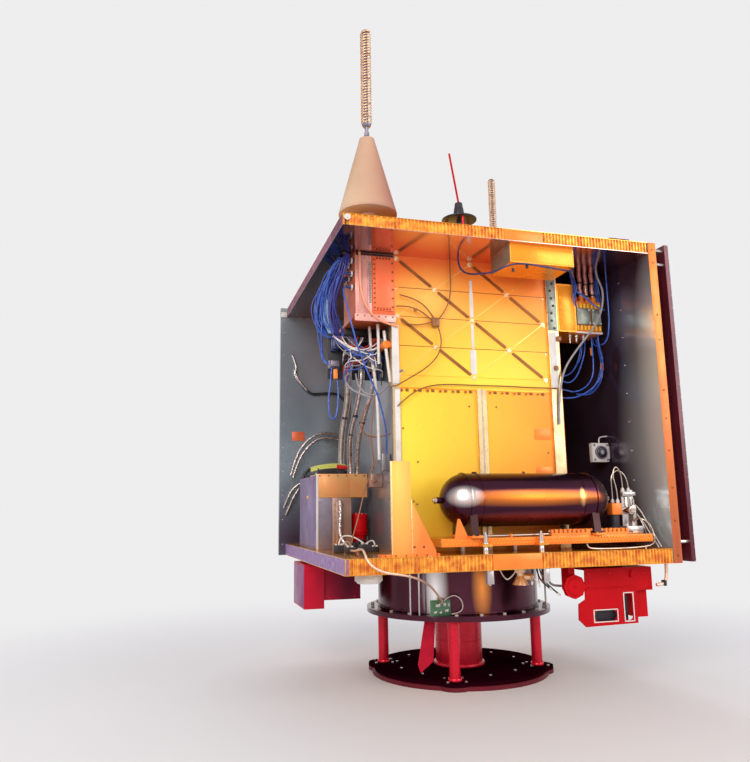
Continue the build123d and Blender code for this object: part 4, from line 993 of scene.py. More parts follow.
@dataclass
class HoneycombCore(Assembly):
    """Core of a deck or roof panel: thin cell walls along the open edges and a block behind them. The cell walls along
    the left side take a darker tone, as painted shade.
    """

    node: str
    insert: tuple[float, float]
    shaded_side_finish: str
    fine_pitch: float = 10.5
    coarse_pitch: float = 18.0
    coarse_until: float = -370.0
    depth: float = 5.0
    rows: int = 2
    foil: float = 0.45
    dent: float = 0.7
    gap: float = 0.4

    def build(self) -> None:
        """Make the block, the cell walls and the plain edge block."""
        core = limits(self.node)
        inner = self.depth * self.rows + self.gap
        self.solid(
            f"{self.node}_block", "core_shadow",
            Form().box((core.left + inner, core.right), (core.front + inner, core.back), core.h), replaces=(self.node,)
        )
        walls = Form()
        side_walls = Form()
        for row in range(self.rows):
            near = row * self.depth + self.gap
            front = [(x, core.front + near + step) for x, step in self.zigzag(core.left, core.right, row)]
            side = [(core.left + near + step, y) for y, step in self.zigzag(core.front, core.back, row)]
            self.ribbon(walls.mesh, front, core)
            self.ribbon(side_walls.mesh, side, core)
        self.solid(f"{self.node}_cells", "cell_wall", walls, sharp=20.0)
        # the side cell walls take the darker tone as painted shade
        self.solid(f"{self.node}_side_cells", self.shaded_side_finish, side_walls, "honeycomb", sharp=20.0)
        middle = core.middle[2]
        self.solid(
            f"{self.node}_edge_block", "edge_strip",
            Form().box(self.insert, (core.front - 0.4, core.front + inner), core.h, 0.6)
            .screws([(x, core.front - 0.4, middle) for x in (self.insert[0] + 14, self.insert[1] - 8)], 3.4, 1.2),
            "honeycomb")

    def zigzag(self, start: float, end: float, row: int) -> list[tuple[float, float]]:
        """Give the corners of one cell wall strip along an edge.

        Args:
            start: Where the edge begins.
            end: Where the edge ends.
            row: Number of the strip, the odd ones mirrored.

        Returns:
            Distances along the edge, each with its depth behind the edge.
        """
        corners = []
        here = start
        count = 0
        while here < end:
            pitch = self.coarse_pitch if here < self.coarse_until else self.fine_pitch
            dent = self.dent * math.sin(2.3 * count + row)
            near, far = (0.0, self.depth - self.gap) if row % 2 == 0 else (self.depth - self.gap, 0.0)
            corners.append((here, near))
            corners.append((here + 0.3 * pitch + dent, near))
            corners.append((here + 0.5 * pitch, far))
            corners.append((here + 0.8 * pitch + dent, far))
            here += pitch
            count += 1
        return [(min(along, end), step) for along, step in corners]

    def ribbon(self, mesh: bmesh.types.BMesh, corners: list[tuple[float, float]], core: Extent) -> None:
        """Fold one upright foil strip along its corners and give it its thickness.

        Args:
            mesh: The bmesh to add to.
            corners: Plan of the strip in millimetres.
            core: Limits of the core.
        """
        x, y = corners[0]
        ends = [mesh.verts.new(at(x, y, core.foot)), mesh.verts.new(at(x, y, core.head))]
        edge = mesh.edges.new(ends)
        faces = []
        for (x0, y0), (x1, y1) in zip(corners, corners[1:]):
            grown = bmesh.ops.extrude_edge_only(mesh, edges=[edge])["geom"]
            moved = [item for item in grown if isinstance(item, bmesh.types.BMVert)]
            faces += [item for item in grown if isinstance(item, bmesh.types.BMFace)]
            bmesh.ops.translate(mesh, verts=moved, vec=Vector(((x1 - x0) * MM, (y1 - y0) * MM, 0)))
            edge = next(e for e in moved[0].link_edges if e.other_vert(moved[0]) is moved[1])
        bmesh.ops.solidify(mesh, geom=faces, thickness=self.foil * MM)


@dataclass
class BodyPanels(Assembly):
    """Edge strips, screws and fittings of the deck, the roof and the walls."""

    strip_t: float = 0.8
    side_screws: tuple[float, ...] = (948.0, 905.0, 739.0, 660.0, 505.0, 420.0, 324.0, 215.0, 120.0, 22.0)
    wall_screws: int = 10
    first_wall_screw: float = 40.0
    wall_screw_pitch: float = 92.0
    insert_r: float = 7.0

    def build(self) -> None:
        """Dress every body panel."""
        HoneycombCore(self.materials, "bottom_core", (-94.0, 52.0), "cell_purple", coarse_until=-1000.0).build()
        HoneycombCore(self.materials, "top_core", (-16.0, 108.0), "cell_maroon").build()
        self.make_side_edge()
        self.make_wall_screws()
        self.make_potted_inserts()

    def make_side_edge(self) -> None:
        """Make the bright front edge of the right wall with its screws."""
        wall = limits("right_panel")
        face = wall.front - self.strip_t
        self.solid(
            "right_wall_edge", "edge_strip",
            Form().box((wall.left + 0.3, wall.right - 0.3), (face, wall.front + 0.1), wall.h, 0.3), "honeycomb")
        middle = wall.middle[0]
        self.solid(
            "right_wall_screws", "rib_brown", Form().screws([(middle, face, h) for h in self.side_screws], 3.0, 1.4))

    def make_wall_screws(self) -> None:
        """Make the screws along the back wall and the side wall's inner face, and the white fitting in the corner."""
        wall = limits("back_panel")
        side = limits("right_panel")
        heads = Form()
        for i in range(self.wall_screws):
            h = self.first_wall_screw + i * self.wall_screw_pitch
            heads.screws([(wall.left + 12, wall.front, h)], 3.0, 1.6)
            heads.screws([(side.left, side.front + 160, h + 20)], 3.0, 1.6, LEFT)
            heads.screws([(wall.left + 14, wall.back, h)], 3.0, 0.1, BACK)
        self.solid("wall_screws", "pale_metal", heads)
        x, h = wall.left + 12, wall.head - 29
        self.solid(
            "back_wall_fitting", "white_part",
            Form().box(
                (wall.left, wall.left + 24), (wall.front - 8, wall.front), (wall.head - 40, wall.head - 18), 2.0)
            .bar((x, wall.front - 8, h), (x, wall.front - 13, h), 5))

    def make_potted_inserts(self) -> None:
        """Make the small round inserts in the roof's and the floor's sheets."""
        roof = limits("top_panel")
        floor = limits("bottom_panel")
        rings = Form()
        for x in spaced(roof.left + 130, roof.right - 60, 5):
            for y in spaced(roof.front + 230, roof.back - 60, 4):
                rings.bar((x, y, roof.head - 1), (x, y, roof.head + 0.4), self.insert_r, sides=14)
        y = floor.front + 10
        for x in spaced(floor.left + 60, floor.right - 60, 6):
            rings.bar((x, y, floor.head), (x, y, floor.head + 0.5), self.insert_r, sides=14)
        self.solid("panel_inserts", "pale_metal", rings)
        x, h = roof.left + 13, roof.head - 12
        self.solid(
            "roof_corner_insert", "white_part",
            Form().bar((x, roof.front, h), (x, roof.front - 1.8, h), 9.0).screws([(x, roof.front - 1.8, h)], 4.0, 1.6))


# Module tower


@dataclass
class ModuleTower(Assembly):
    """Ribs, pads, screws and covers on the front of the module tower."""

    rib_w: float = 8.5
    rib_t: float = 3.6
    rib_short: float = 13.0
    line_w: float = 2.2
    line_t: float = 1.2
    line_short: float = 6.0
    pad_r: float = 8.5
    rib_step: float = 122.5
    rib_inset: float = 7.0
    rib_drop: float = 9.0
    joint_drop: float = 101.0
    joint_pitch: float = 91.0
    seam_screw_h: float = 514.0
    seam_screw_pitch: float = 41.0
    rail_cover: tuple[float, float] = (722.0, 922.0)

    def build(self) -> None:
        """Dress the tower."""
        self.trays = limits("tower_trays")
        self.face = self.trays.front
        self.heights = [self.trays.head - self.rib_drop]
        self.heights += [self.trays.head - self.joint_drop - self.joint_pitch * i for i in range(4)]
        self.columns = [self.trays.left + self.rib_inset + i * self.rib_step for i in range(5)]
        self.make_ribs()
        self.make_pads()
        self.make_seam()
        self.make_rails()
        self.make_patches()
        self.make_tray_joints()

    def make_ribs(self) -> None:
        """Make the falling ribs with round ends, dark as painted shade on their shadow side, and the thin rising ribs,
        bright as painted light on their lit side.
        """
        falling = Form()
        rising = Form()
        for i in range(4):
            for j in range(4):
                x0, x1 = self.columns[i], self.columns[i + 1]
                h0, h1 = self.heights[j], self.heights[j + 1]
                if (i + j) % 2 == 0:
                    self.rib(falling, (x0, h0), (x1, h1), self.rib_w, self.rib_t, self.rib_short)
                else:
                    self.rib(rising, (x0, h1), (x1, h0), self.line_w, self.line_t, self.line_short)
        # painted shade on the falling ribs and painted light on the rising ones
        self.solid("tray_ribs", "rib_brown", falling, "rib_metal", ("tower_ribs",))
        self.solid("tray_lines", "tray_line", rising)

    def rib(
        self, form: Form, start: tuple[float, float], end: tuple[float, float], width: float, thick: float,
        short: float,
    ) -> None:
        """Add one flat rib with rounded ends between two nodes of the lattice.

        Args:
            form: The shape to add to.
            start: X and height of the first node.
            end: X and height of the other node.
            width: Width of the rib.
            thick: How far it stands out.
            short: How far it stops before each node.
        """
        first = Vector((start[0], 0, start[1]))
        last = Vector((end[0], 0, end[1]))
        run = (last - first).normalized()
        first += run * short
        last -= run * short
        middle = (first + last) / 2
        place = Matrix.Translation(at(middle.x, self.face - thick / 2 + 0.2, middle.z))
        turn = Matrix.Rotation(-math.atan2(run.z, run.x), 4, "Y")
        size = Matrix.Diagonal(((last - first).length * MM, thick * MM, width * MM, 1.0))
        made = bmesh.ops.create_cube(form.mesh, size=1.0, matrix=place @ turn @ size)
        upright = [
            edge for edge in {e for v in made["verts"] for e in v.link_edges}
            if abs((edge.verts[1].co - edge.verts[0].co).normalized().y) > 0.9]
        bmesh.ops.bevel(
            form.mesh, geom=upright, offset=width * 0.48 * MM, offset_type="OFFSET", segments=5, profile=0.5,
            affect="EDGES", material=-1)

    def make_pads(self) -> None:
        """Make the pale pads where the ribs meet, each with its screw, and the screws between the trays."""
        pads = Form()
        for i, x in enumerate(self.columns):
            for j in range(i % 2, 5, 2):
                h = self.heights[j]
                pads.bar((x, self.face, h), (x, self.face - 2.2, h), self.pad_r, self.pad_r - 2.0, 16)
                pads.screws([(x, self.face - 2.2, h)], 3.6, 1.8)
        for h in self.heights[1:4]:
            pads.screws([(x, self.face, h - 6) for x in (self.trays.right - 52, self.trays.left + 4)], 3.0, 2.0)
        self.solid("tray_pads", "pad_metal", pads)

    def make_seam(self) -> None:
        """Make the flange, screws and clips along the joint of upper and lower tower, and the screws below it."""
        seam = Form()
        dark = Form()
        x, h = self.trays.left + 16, self.seam_screw_h
        while x < self.trays.right - 50:
            seam.bar((x, self.face, h), (x, self.face - 2.4, h), 5.4, 4.6, 14)
            dark.screws([(x, self.face - 2.4, h)], 3.2, 2.0)
            dark.box((x + 12, x + 22), (self.face - 3.0, self.face), (h - 3, h + 5), 0.8)
            x += self.seam_screw_pitch
        seam.box((self.trays.left, self.trays.right - 42), (self.face - 1.4, self.face), (519.0, 523.5), 0.4)
        self.solid("seam_flange", "seam_gold", seam)
        self.solid("seam_screws", "rib_brown", dark)
        self.solid(
            "lower_plate_screws", "rib_brown",
            Form().screws(
                [(x, self.face, h)
                 for x, h in (
                     (-230.0, 301.0), (110.0, 271.0), (-274.0, 400.0), (200.0, 330.0), (30.0, 470.0), (-60.0, 470.0))],
                3.0, 1.4))

    def make_tray_joints(self) -> None:
        """Make the dark joint lines between the trays and the pale strip along the middle column of pads."""
        lines = Form()
        for h in self.heights[1:4]:
            lines.box((self.trays.left + 14, self.trays.right - 48), (self.face - 0.5, self.face), (h - 1.0, h + 1.0))
        self.solid("tray_joint_lines", "rib_brown", lines, "rib_metal")
        strip = Form()
        x = self.columns[2]
        clear = self.pad_r + 2
        upper, pad, lower, foot = self.heights[1:5]
        runs = (
            (foot + clear, lower - 4, 10.0), (lower + 4, pad - clear, 4.5), (pad + clear, upper, 6.0),
            (upper, upper + 38, 4.5))
        for low, high, half in runs:
            strip.box((x - half, x + half), (self.face - 1.4, self.face), (low, high), 0.5)
        for h in (lower, upper):
            strip.screws([(x, self.face - 0.5, h)], 3.0, 1.6)
        self.solid("middle_tray_strip", "white_part", strip)

    def make_rails(self) -> None:
        """Make the grey cover of the right rail, the white corner strip and the groove of the middle rail."""
        rails = limits("tower_rails")
        face = rails.front
        self.solid("rail_cover", "rail_green", Form().box((221, 253), (face - 1.2, face), self.rail_cover, 0.6))
        self.solid(
            "rail_cover_screws", "black_part",
            Form().screws([(237 + 5 * math.sin(2.0 * i), face - 1.2, 905 - 25 * i) for i in range(8)], 4.2, 1.4))
        self.solid(
            "pale_strips", "white_part",
            Form().box((rails.left, self.trays.left + 8), (face - 1.0, face), (532, 712), 0.6)
            .box((rails.left + 6, self.trays.left + 8), (face - 1.0, face), (300, 515), 0.6)
            .box((222, 246), (face - 1.0, face), (535, 716), 0.6)
            .box((-20.5, -16.5), (face + 2, face + 8), (60, 520), 0.0))

    def make_patches(self) -> None:
        """Make the orange tape patches at the lower tower's right side."""
        patches = Form()
        for foot, head in ((371.0, 405.0), (262.0, 287.0)):
            patches.box((155, 212), (self.face - 0.5, self.face), (foot, head), 0.2)
        self.solid("tape_patches", "edge_strip", patches)


@dataclass
class RadioStack(Assembly):
    """The radio module at the upper left: lid with its screws, end plate, plugs and shelf."""

    lid_t: float = 2.5
    plug_r: float = 8.0

    def build(self) -> None:
        """Dress the radio module."""
        self.box = limits("radio_module")
        self.lid = limits("radio_lid")
        self.make_lid()
        self.make_front()
        self.make_plugs()
        self.make_shelf()

    def make_lid(self) -> None:
        """Make the raised lid up to the ceiling, its rows of dark screws and the slot above it."""
        lid = self.lid
        self.solid(
            "radio_lid_cover", "coral_lid",
            Form().box(lid.x, (lid.front + self.lid_t, lid.back), (lid.foot, lid.head - 3), 1.2)
            .box(
                (lid.left + 9, lid.right - 9), (lid.front, lid.front + self.lid_t), (lid.foot + 9, lid.head - 14), 1.0),
            replaces=("radio_lid",))
        rim = lid.front + self.lid_t
        places = [(lid.left + 4.5, rim, h) for h in spaced(lid.foot + 8, lid.head - 14, 11)]
        places += [(lid.right - 4.5, rim, h) for h in spaced(lid.foot + 12, lid.head - 22, 6)]
        places += [
            (x, rim, h) for x in spaced(lid.left + 14, lid.right - 14, 5) for h in (lid.head - 8, lid.foot + 4.5)]
        self.solid("radio_lid_screws", "rib_brown", Form().screws(places, 2.8, 2.2))
        self.solid(
            "radio_slot", "black_part",
            Form().box(
                (self.box.left + 2, lid.right), (self.box.front - 1.5, self.box.front),
                (lid.head - 1, self.box.head - 1), 0.4))

    def make_front(self) -> None:
        """Make the pinkish end plate left of the lid with its ridges and toothed strip."""
        box = self.box
        plate = Form()
        plate.box((box.left, self.lid.left - 3), (box.front - 2, box.front), (box.foot, box.head - 9), 0.8)
        for x in spaced(box.left + 8, self.lid.left - 16, 3):
            plate.box((x, x + 3), (box.front - 4.5, box.front - 2), (box.foot + 10, box.head - 50), 0.6)
        self.solid("radio_end_plate", "pink_metal", plate)
        teeth = Form()
        for h in spaced(self.lid.foot + 24, self.lid.head - 24, 18):
            teeth.box(
                (self.lid.left - 12, self.lid.left - 4), (box.front - 4.5, box.front - 2), (h - 2.4, h + 2.4), 0.6)
        self.solid("radio_toothed_strip", "rail_green", teeth)

    def make_plugs(self) -> None:
        """Make the dark plugs with pale nuts on the module's left face, and the nuts on the tower's right face."""
        plugs = Form()
        nuts = Form()
        sockets = ((-278, 914), (-242, 910), (-206, 914), (-278, 872), (-242, 868), (-206, 872), (-278, 830))
        for y, h in sockets:
            face = self.box.left
            plugs.bar((face, y, h), (face - 16, y, h), self.plug_r, 6.0, 16, 0.8)
            nuts.bar((face - 4, y, h), (face - 9, y, h), self.plug_r + 1.6, sides=6)
            plugs.bar((face - 15, y, h), (face - 24, y, h), 4.4, 3.6, 14)
        self.solid("radio_plugs", "navy_plug", plugs, replaces=("coax_plugs",))
        tower = limits("tower_trays")
        for y, h in ((-234, 516), (-228, 546), (-222, 576)):
            nuts.bar((tower.right, y, h), (tower.right + 12, y, h), 7.0, sides=6)
            nuts.bar((tower.right + 12, y, h), (tower.right + 22, y, h), 4.6, 3.8, 14)
        self.solid("plug_nuts", "white_part", nuts, "gold_wire")

    def make_shelf(self) -> None:
        """Make the shelf's rounded lip and screws."""
        shelf = limits("left_shelf")
        self.solid(
            "shelf_lip", "pink_metal", Form().box(shelf.x, (shelf.front - 0.5, shelf.front + 0.2), shelf.h, 0.2))
        self.solid(
            "shelf_screws", "rib_brown",
            Form().screws(
                [(x, shelf.front - 0.5, shelf.head - 6) for x in spaced(shelf.left + 8, shelf.right - 10, 6)], 2.4, 1.6
            ))


# Cables and bundles


def bundle(route: Sequence[Point], count: int, spread: float, twist: float, phase: float = 0.0) -> list[list[Point]]:
    """Lay strands side by side round one route.

    Args:
        route: Points of the bundle's middle, in millimetres.
        count: Number of strands.
        spread: Distance of the strands from the middle, in millimetres.
        twist: Turn of the strands from point to point, in radians.
        phase: Turn of the first strand, in radians.

    Returns:
        One list of points per strand.
    """
    strands = []
    for k in range(count):
        strand = []
        for i, (x, y, h) in enumerate(route):
            loose = spread * (HELD_SHARE if i in (0, len(route) - 1) else 0.75 + 0.5 * math.sin(1.7 * i + 2.1 * k))
            turn = phase + 2 * math.pi * k / count + twist * i
            strand.append(
                (x + loose * math.cos(turn), y + 0.8 * loose * math.sin(turn), h + 0.4 * loose * math.sin(turn)))
        strands.append(strand)
    return strands


@dataclass
class LeftHarness(Assembly):
    """Blue leads, plug panel, foil trunks and loose wires left of the tower."""

    coax_r: float = 2.6
    wire_r: float = 1.6
    foil_r: float = 7.0

    def build(self) -> None:
        """Make the whole left harness."""
        self.make_blue_leads()
        self.make_plug_panel()
        self.make_trunks()
        self.make_wires()
        self.make_back_wall_wires()

    def make_blue_leads(self) -> None:
        """Make the blue, navy and pale leads that bow out left of the radio module."""
        held = [
            [(-439, -278, 914), (-466, -278, 914), (-482, -240, 880), (-488, -200, 800), (-486, -188, 744),
             (-462, -187, 722), (-458, -187, 706), (-458, -187, 690)],
            [(-439, -242, 910), (-468, -242, 910), (-486, -205, 870), (-493, -150, 800), (-488, -170, 732),
             (-452, -190, 722), (-448, -190, 706), (-448, -190, 690)],
            [(-439, -206, 914), (-468, -206, 914), (-486, -160, 890), (-495, -100, 820), (-494, -110, 730),
             (-490, -150, 660), (-492, -187, 612), (-473, -187, 608)],
            [(-439, -278, 872), (-458, -278, 872), (-468, -262, 830), (-470, -240, 770), (-438, -200, 734),
             (-430, -187, 712), (-430, -187, 690)],
            [(-439, -242, 868), (-462, -242, 868), (-480, -222, 830), (-476, -214, 780), (-440, -190, 744),
             (-424, -182, 712), (-424, -182, 690)],
            [(-439, -206, 872), (-464, -206, 872), (-488, -178, 836), (-486, -140, 740), (-488, -150, 680),
             (-490, -178, 620), (-473, -178, 614)],
            [(-439, -278, 830), (-452, -278, 826), (-440, -300, 762), (-430, -312, 700), (-402, -290, 626),
             (-366, -266, 560), (-338, -254, 508), (-318, -250, 440), (-308, -244, 390), (-306, -234, 350),
             (-306, -232, 330)],
            [(-464, -187, 597), (-466, -187, 560), (-475, -187, 500), (-472, -187, 448), (-458, -187, 432),
             (-446, -187, 460), (-443, -187, 520), (-446, -187, 570), (-448, -187, 597)]]
        from_roof = [
            (-448, -252, 932), (-458, -240, 905), (-476, -205, 866), (-488, -150, 818), (-492, -120, 764),
            (-482, -140, 716), (-462, -175, 694)]
        side_run = [
            (-428, -150, 930), (-452, -130, 905), (-478, -110, 870), (-490, -90, 820), (-486, -100, 760),
            (-468, -140, 706), (-452, -165, 690)]
        arch = [(-478, -150, 860), (-470, -160, 884), (-455, -180, 893), (-436, -205, 888), (-424, -225, 866)]
        curtain = [
            (-434, -286, 932), (-442, -288, 908), (-452, -276, 872), (-466, -250, 824), (-474, -230, 770),
            (-462, -212, 716), (-444, -200, 694)]
        loops = bundle(from_roof, 9, 16.0, 0.35) + bundle(side_run, 6, 12.0, 0.3, 0.5) + bundle(arch, 3, 6.0, 0.2)
        dark = bundle(curtain, 8, 13.0, 0.3, 0.4) + bundle(side_run, 5, 20.0, 0.25, 1.2)
        self.leads("left_navy_bundle", dark, self.coax_r * 0.9, "navy_jacket", rounds=2)
        self.leads("left_blue_leads", held, self.coax_r, "blue_jacket", replaces=("left_coax",))
        self.leads("left_blue_bundle", loops, self.coax_r * 0.85, "blue_jacket", rounds=2)
        pale = [(-470, -160, 838), (-472, -155, 790), (-470, -150, 745), (-462, -165, 705)]
        self.leads("left_pale_bundle", bundle(pale, 7, 12.0, 0.2), 2.8, "pale_blue_jacket", rounds=2)

    def make_plug_panel(self) -> None:
        """Make the panel of plugs under the shelf and the orange plugs beside it."""
        panel = limits("harness_panel")
        plugs = (
            (-452, 670, 24, 40, "navy_plug"), (-424, 670, 24, 40, "black_part"), (-396, 678, 26, 30, "grey_box"),
            (-362, 684, 34, 22, "black_part"), (-325, 680, 26, 34, "coral_box"), (-456, 608, 34, 26, "grey_box"),
            (-412, 604, 30, 24, "black_part"), (-370, 612, 34, 36, "rib_brown"), (-330, 602, 26, 26, "pale_metal"))
        face = panel.back - 8
        self.solid(
            "plug_panel", "black_part",
            Form().box(panel.x, (face, panel.back), (panel.foot, panel.head - 20), 1.0)
            .box((-415, panel.right), (face, panel.back), (panel.head - 20, panel.head), 1.0)
            .screws([(x, face, panel.foot + 7) for x in spaced(panel.left + 8, panel.right - 8, 7)], 2.6, 2.0),
            replaces=("harness_panel",))
        screws = Form()
        for number, (x, h, w, tall, finish) in enumerate(plugs):
            self.solid(
                f"panel_plug_{number}", finish,
                Form().box((x - w / 2, x + w / 2), (face - 14, face), (h - tall / 2, h + tall / 2), 2.0)
                .box((x - w / 2 + 3, x + w / 2 - 3), (face - 32, face - 14), (h - tall / 2 + 3, h + tall / 2 - 3), 3.0)
                .bar((x, face - 30, h), (x, face - 34, h), min(w, tall) / 4, sides=14, bevel=0.6),
                "black_part")
            screws.screws([(x - w / 2 + 3, face - 14, h), (x + w / 2 - 3, face - 14, h)], 2.2, 6.0)
        self.solid("plug_screws", "pale_metal", screws)
        self.solid(
            "orange_plugs", "edge_strip",
            Form().bar((-316, -262, 655), (-316, -290, 655), 14, 12, 22, 1.5)
            .bar((-316, -200, 655), (-316, -262, 655), 9, 9, 18, 0.8).box((-461, -448), (-204, -190), (560, 590), 2.0))

    def make_trunks(self) -> None:
        """Make the foil-wrapped trunks with their ties and the white conduits beside the tower."""
        trunks = [
            [(-370, -187, 596), (-370, -187, 555), (-374, -150, 480), (-382, -90, 410), (-374, -40, 340),
             (-366, -22, 305), (-366, -20, 280)],
            [(-330, -187, 591), (-331, -187, 545), (-345, -130, 460), (-350, -70, 390), (-345, -30, 330),
             (-342, -14, 300), (-342, -12, 280)],
            [(-412, -187, 594), (-412, -187, 560), (-402, -140, 500), (-404, -80, 430), (-398, -30, 366),
             (-396, -14, 330), (-396, -12, 310)]]
        self.leads("foil_wrapped_trunks", trunks, self.foil_r, "foil_wrap", replaces=("foil_trunks",), rounds=4)
        thin = [
            [(x + dx, y + dy, h) for x, y, h in trunks[k]]
            for k, dx, dy in ((0, 8, -6), (0, -9, -4), (0, 4, 9), (2, 8, -5), (2, -8, 3))]
        self.leads("trunk_wires", thin, 2.0, "grey_jacket", rounds=2)
        ties = Form()
        for x, y, h in ((-376, -130, 455), (-381, -84, 402), (-372, -40, 342), (-348, -110, 438), (-403, -100, 452)):
            ties.bar((x, y, h - 4), (x, y, h + 4), 9.6, sides=18, bevel=0.8)
        self.solid("trunk_ties", "black_part", ties)
        conduits = [
            [(-352, -225, 722), (-352, -232, 690), (-350, -236, 620), (-340, -240, 560), (-334, -240, 480),
             (-332, -240, 400), (-331, -240, 311)],
            [(-336, -262, 722), (-334, -262, 690), (-334, -260, 640), (-332, -256, 600)],
            [(-318, -270, 700), (-316, -280, 640), (-312, -285, 590), (-306, -286, 540)]]
        self.leads("white_conduits", conduits, 5.0, "white_jacket", rounds=4)

    def make_wires(self) -> None:
        """Make the loose wires that fan out from the plug panel, by colour, and the cables below it."""
        fans = (
            ("black", 11, 0.3, 46.0), ("white", 14, 1.1, 48.0), ("red", 12, 2.2, 40.0), ("grey", 12, 3.0, 58.0),
            ("blue", 9, 4.1, 60.0), ("brown", 4, 5.0, 44.0))
        for colour, count, phase, drop in fans:
            routes = []
            for k in range(count):
                turn = phase + 2.4 * k
                x0 = -388 + 76 * math.sin(turn)
                x1 = -372 + 62 * math.sin(turn + 1.9)
                h0 = 690 - 34 * (k % 3) * math.cos(turn) ** 2
                front = -222 - 26 * abs(math.sin(turn * 1.3))
                routes.append(
                    [(x0, -204, h0), (x0 + 2, -214, h0 + 3), (x0 + 8 * math.cos(turn), front, h0 - 0.3 * drop),
                     ((x0 + x1) / 2, front - 10, h0 - drop), (x1 - 5, front + 4, h0 - 0.8 * drop - 8),
                     (x1, -210, h0 - 0.9 * drop - 26 + 10 * math.cos(turn)), (x1 + 4, -190, h0 - drop - 34)])
            self.leads(f"{colour}_wires", routes, self.wire_r, f"{colour}_jacket", rounds=2)
        tails = (
            [(-395, -215, 575), (-392, -220, 540), (-372, -235, 512), (-350, -240, 505), (-322, -248, 514),
             (-300, -262, 540), (-292, -296, 566), (-272, -309, 574)],
            [(-430, -205, 580), (-428, -215, 545), (-405, -225, 520), (-376, -232, 508), (-352, -238, 498)])
        self.leads("harness_tails", tails, 3.0, "grey_jacket")
        brown = (
            [(-350, -238, 500), (-368, -236, 470), (-385, -232, 430), (-382, -226, 396), (-360, -222, 382),
             (-330, -228, 380), (-306, -240, 386), (-298, -250, 388)],
            [(-342, -240, 505), (-350, -240, 450), (-356, -240, 380), (-352, -240, 340), (-346, -236, 300),
             (-350, -234, 282)],
            [(-344, -242, 310), (-372, -236, 240), (-398, -250, 150), (-420, -262, 90), (-424, -264, 70)])
        self.leads("brown_cables", brown, 2.0, "brown_jacket", rounds=2)

    def make_back_wall_wires(self) -> None:
        """Make the foil leads, dark cables, coil and arcs along the back wall, and its small coral patch."""
        wall = limits("back_panel").front
        foil = (
            [(-481, wall - 6, 776), (-458, wall - 14, 724), (-480, wall - 14, 690), (-428, wall - 10, 644)],
            [(-472, wall - 8, 716), (-464, wall - 16, 690), (-448, wall - 16, 664), (-420, wall - 10, 634)],
            [(-500, wall - 4, 150), (-486, wall - 20, 190), (-470, wall - 24, 225), (-452, wall - 20, 250)],
            [(-508, wall - 4, 176), (-496, wall - 18, 214), (-478, wall - 22, 250), (-450, wall - 24, 268)])
        self.leads("back_wall_foil", foil, 4.2, "foil_wrap")
        dark = (
            [(-440, wall - 8, 656), (-412, wall - 10, 620), (-370, wall - 10, 622), (-327, wall - 10, 627),
             (-280, wall - 10, 622), (-248, wall - 8, 562)],
            [(-452, wall - 22, 252), (-436, wall - 20, 300), (-410, wall - 18, 326), (-370, wall - 16, 332),
             (-330, wall - 12, 318), (-306, wall - 8, 296)],
            [(-450, wall - 22, 268), (-430, wall - 22, 286), (-400, wall - 16, 300), (-356, wall - 14, 306),
             (-312, wall - 8, 284)])
        self.leads("back_wall_cables", dark, 5.0, "black_jacket")
        coil = []
        for k in range(6):
            lift = 5.0 * (k % 3)
            near = 4.0 * (k // 3)
            coil.append(
                [(-494, -10 + near, 290 + lift), (-478, -24 + near, 295 + lift), (-440, -28 + near, 300 + lift),
                 (-402, -28 + near, 301 + lift), (-374, -18 + near, 296 + lift), (-360, 4 + near, 290 + lift)])
        self.leads("yellow_coil", coil, 2.8, "coil_jacket", rounds=2)
        self.solid("coil_sleeve", "red_jacket", Form().bar((-414, -32, 303), (-374, -22, 300), 7.0, 6.0, 16, 1.0))
        arcs = (
            [(-486, wall - 30, 300), (-472, wall - 36, 356), (-446, wall - 40, 410), (-402, wall - 40, 452),
             (-348, wall - 40, 466), (-300, wall - 40, 456)],
            [(-478, wall - 34, 290), (-464, wall - 40, 340), (-436, wall - 44, 394), (-394, wall - 44, 434),
             (-344, wall - 44, 448), (-296, wall - 44, 436)])
        self.leads("foil_arcs", arcs, 4.6, "foil_wrap")
        self.solid("back_wall_patch", "coral_box", Form().box((-478, -428), (wall - 0.8, wall), (435, 470), 0.2))


# Lower left boxes


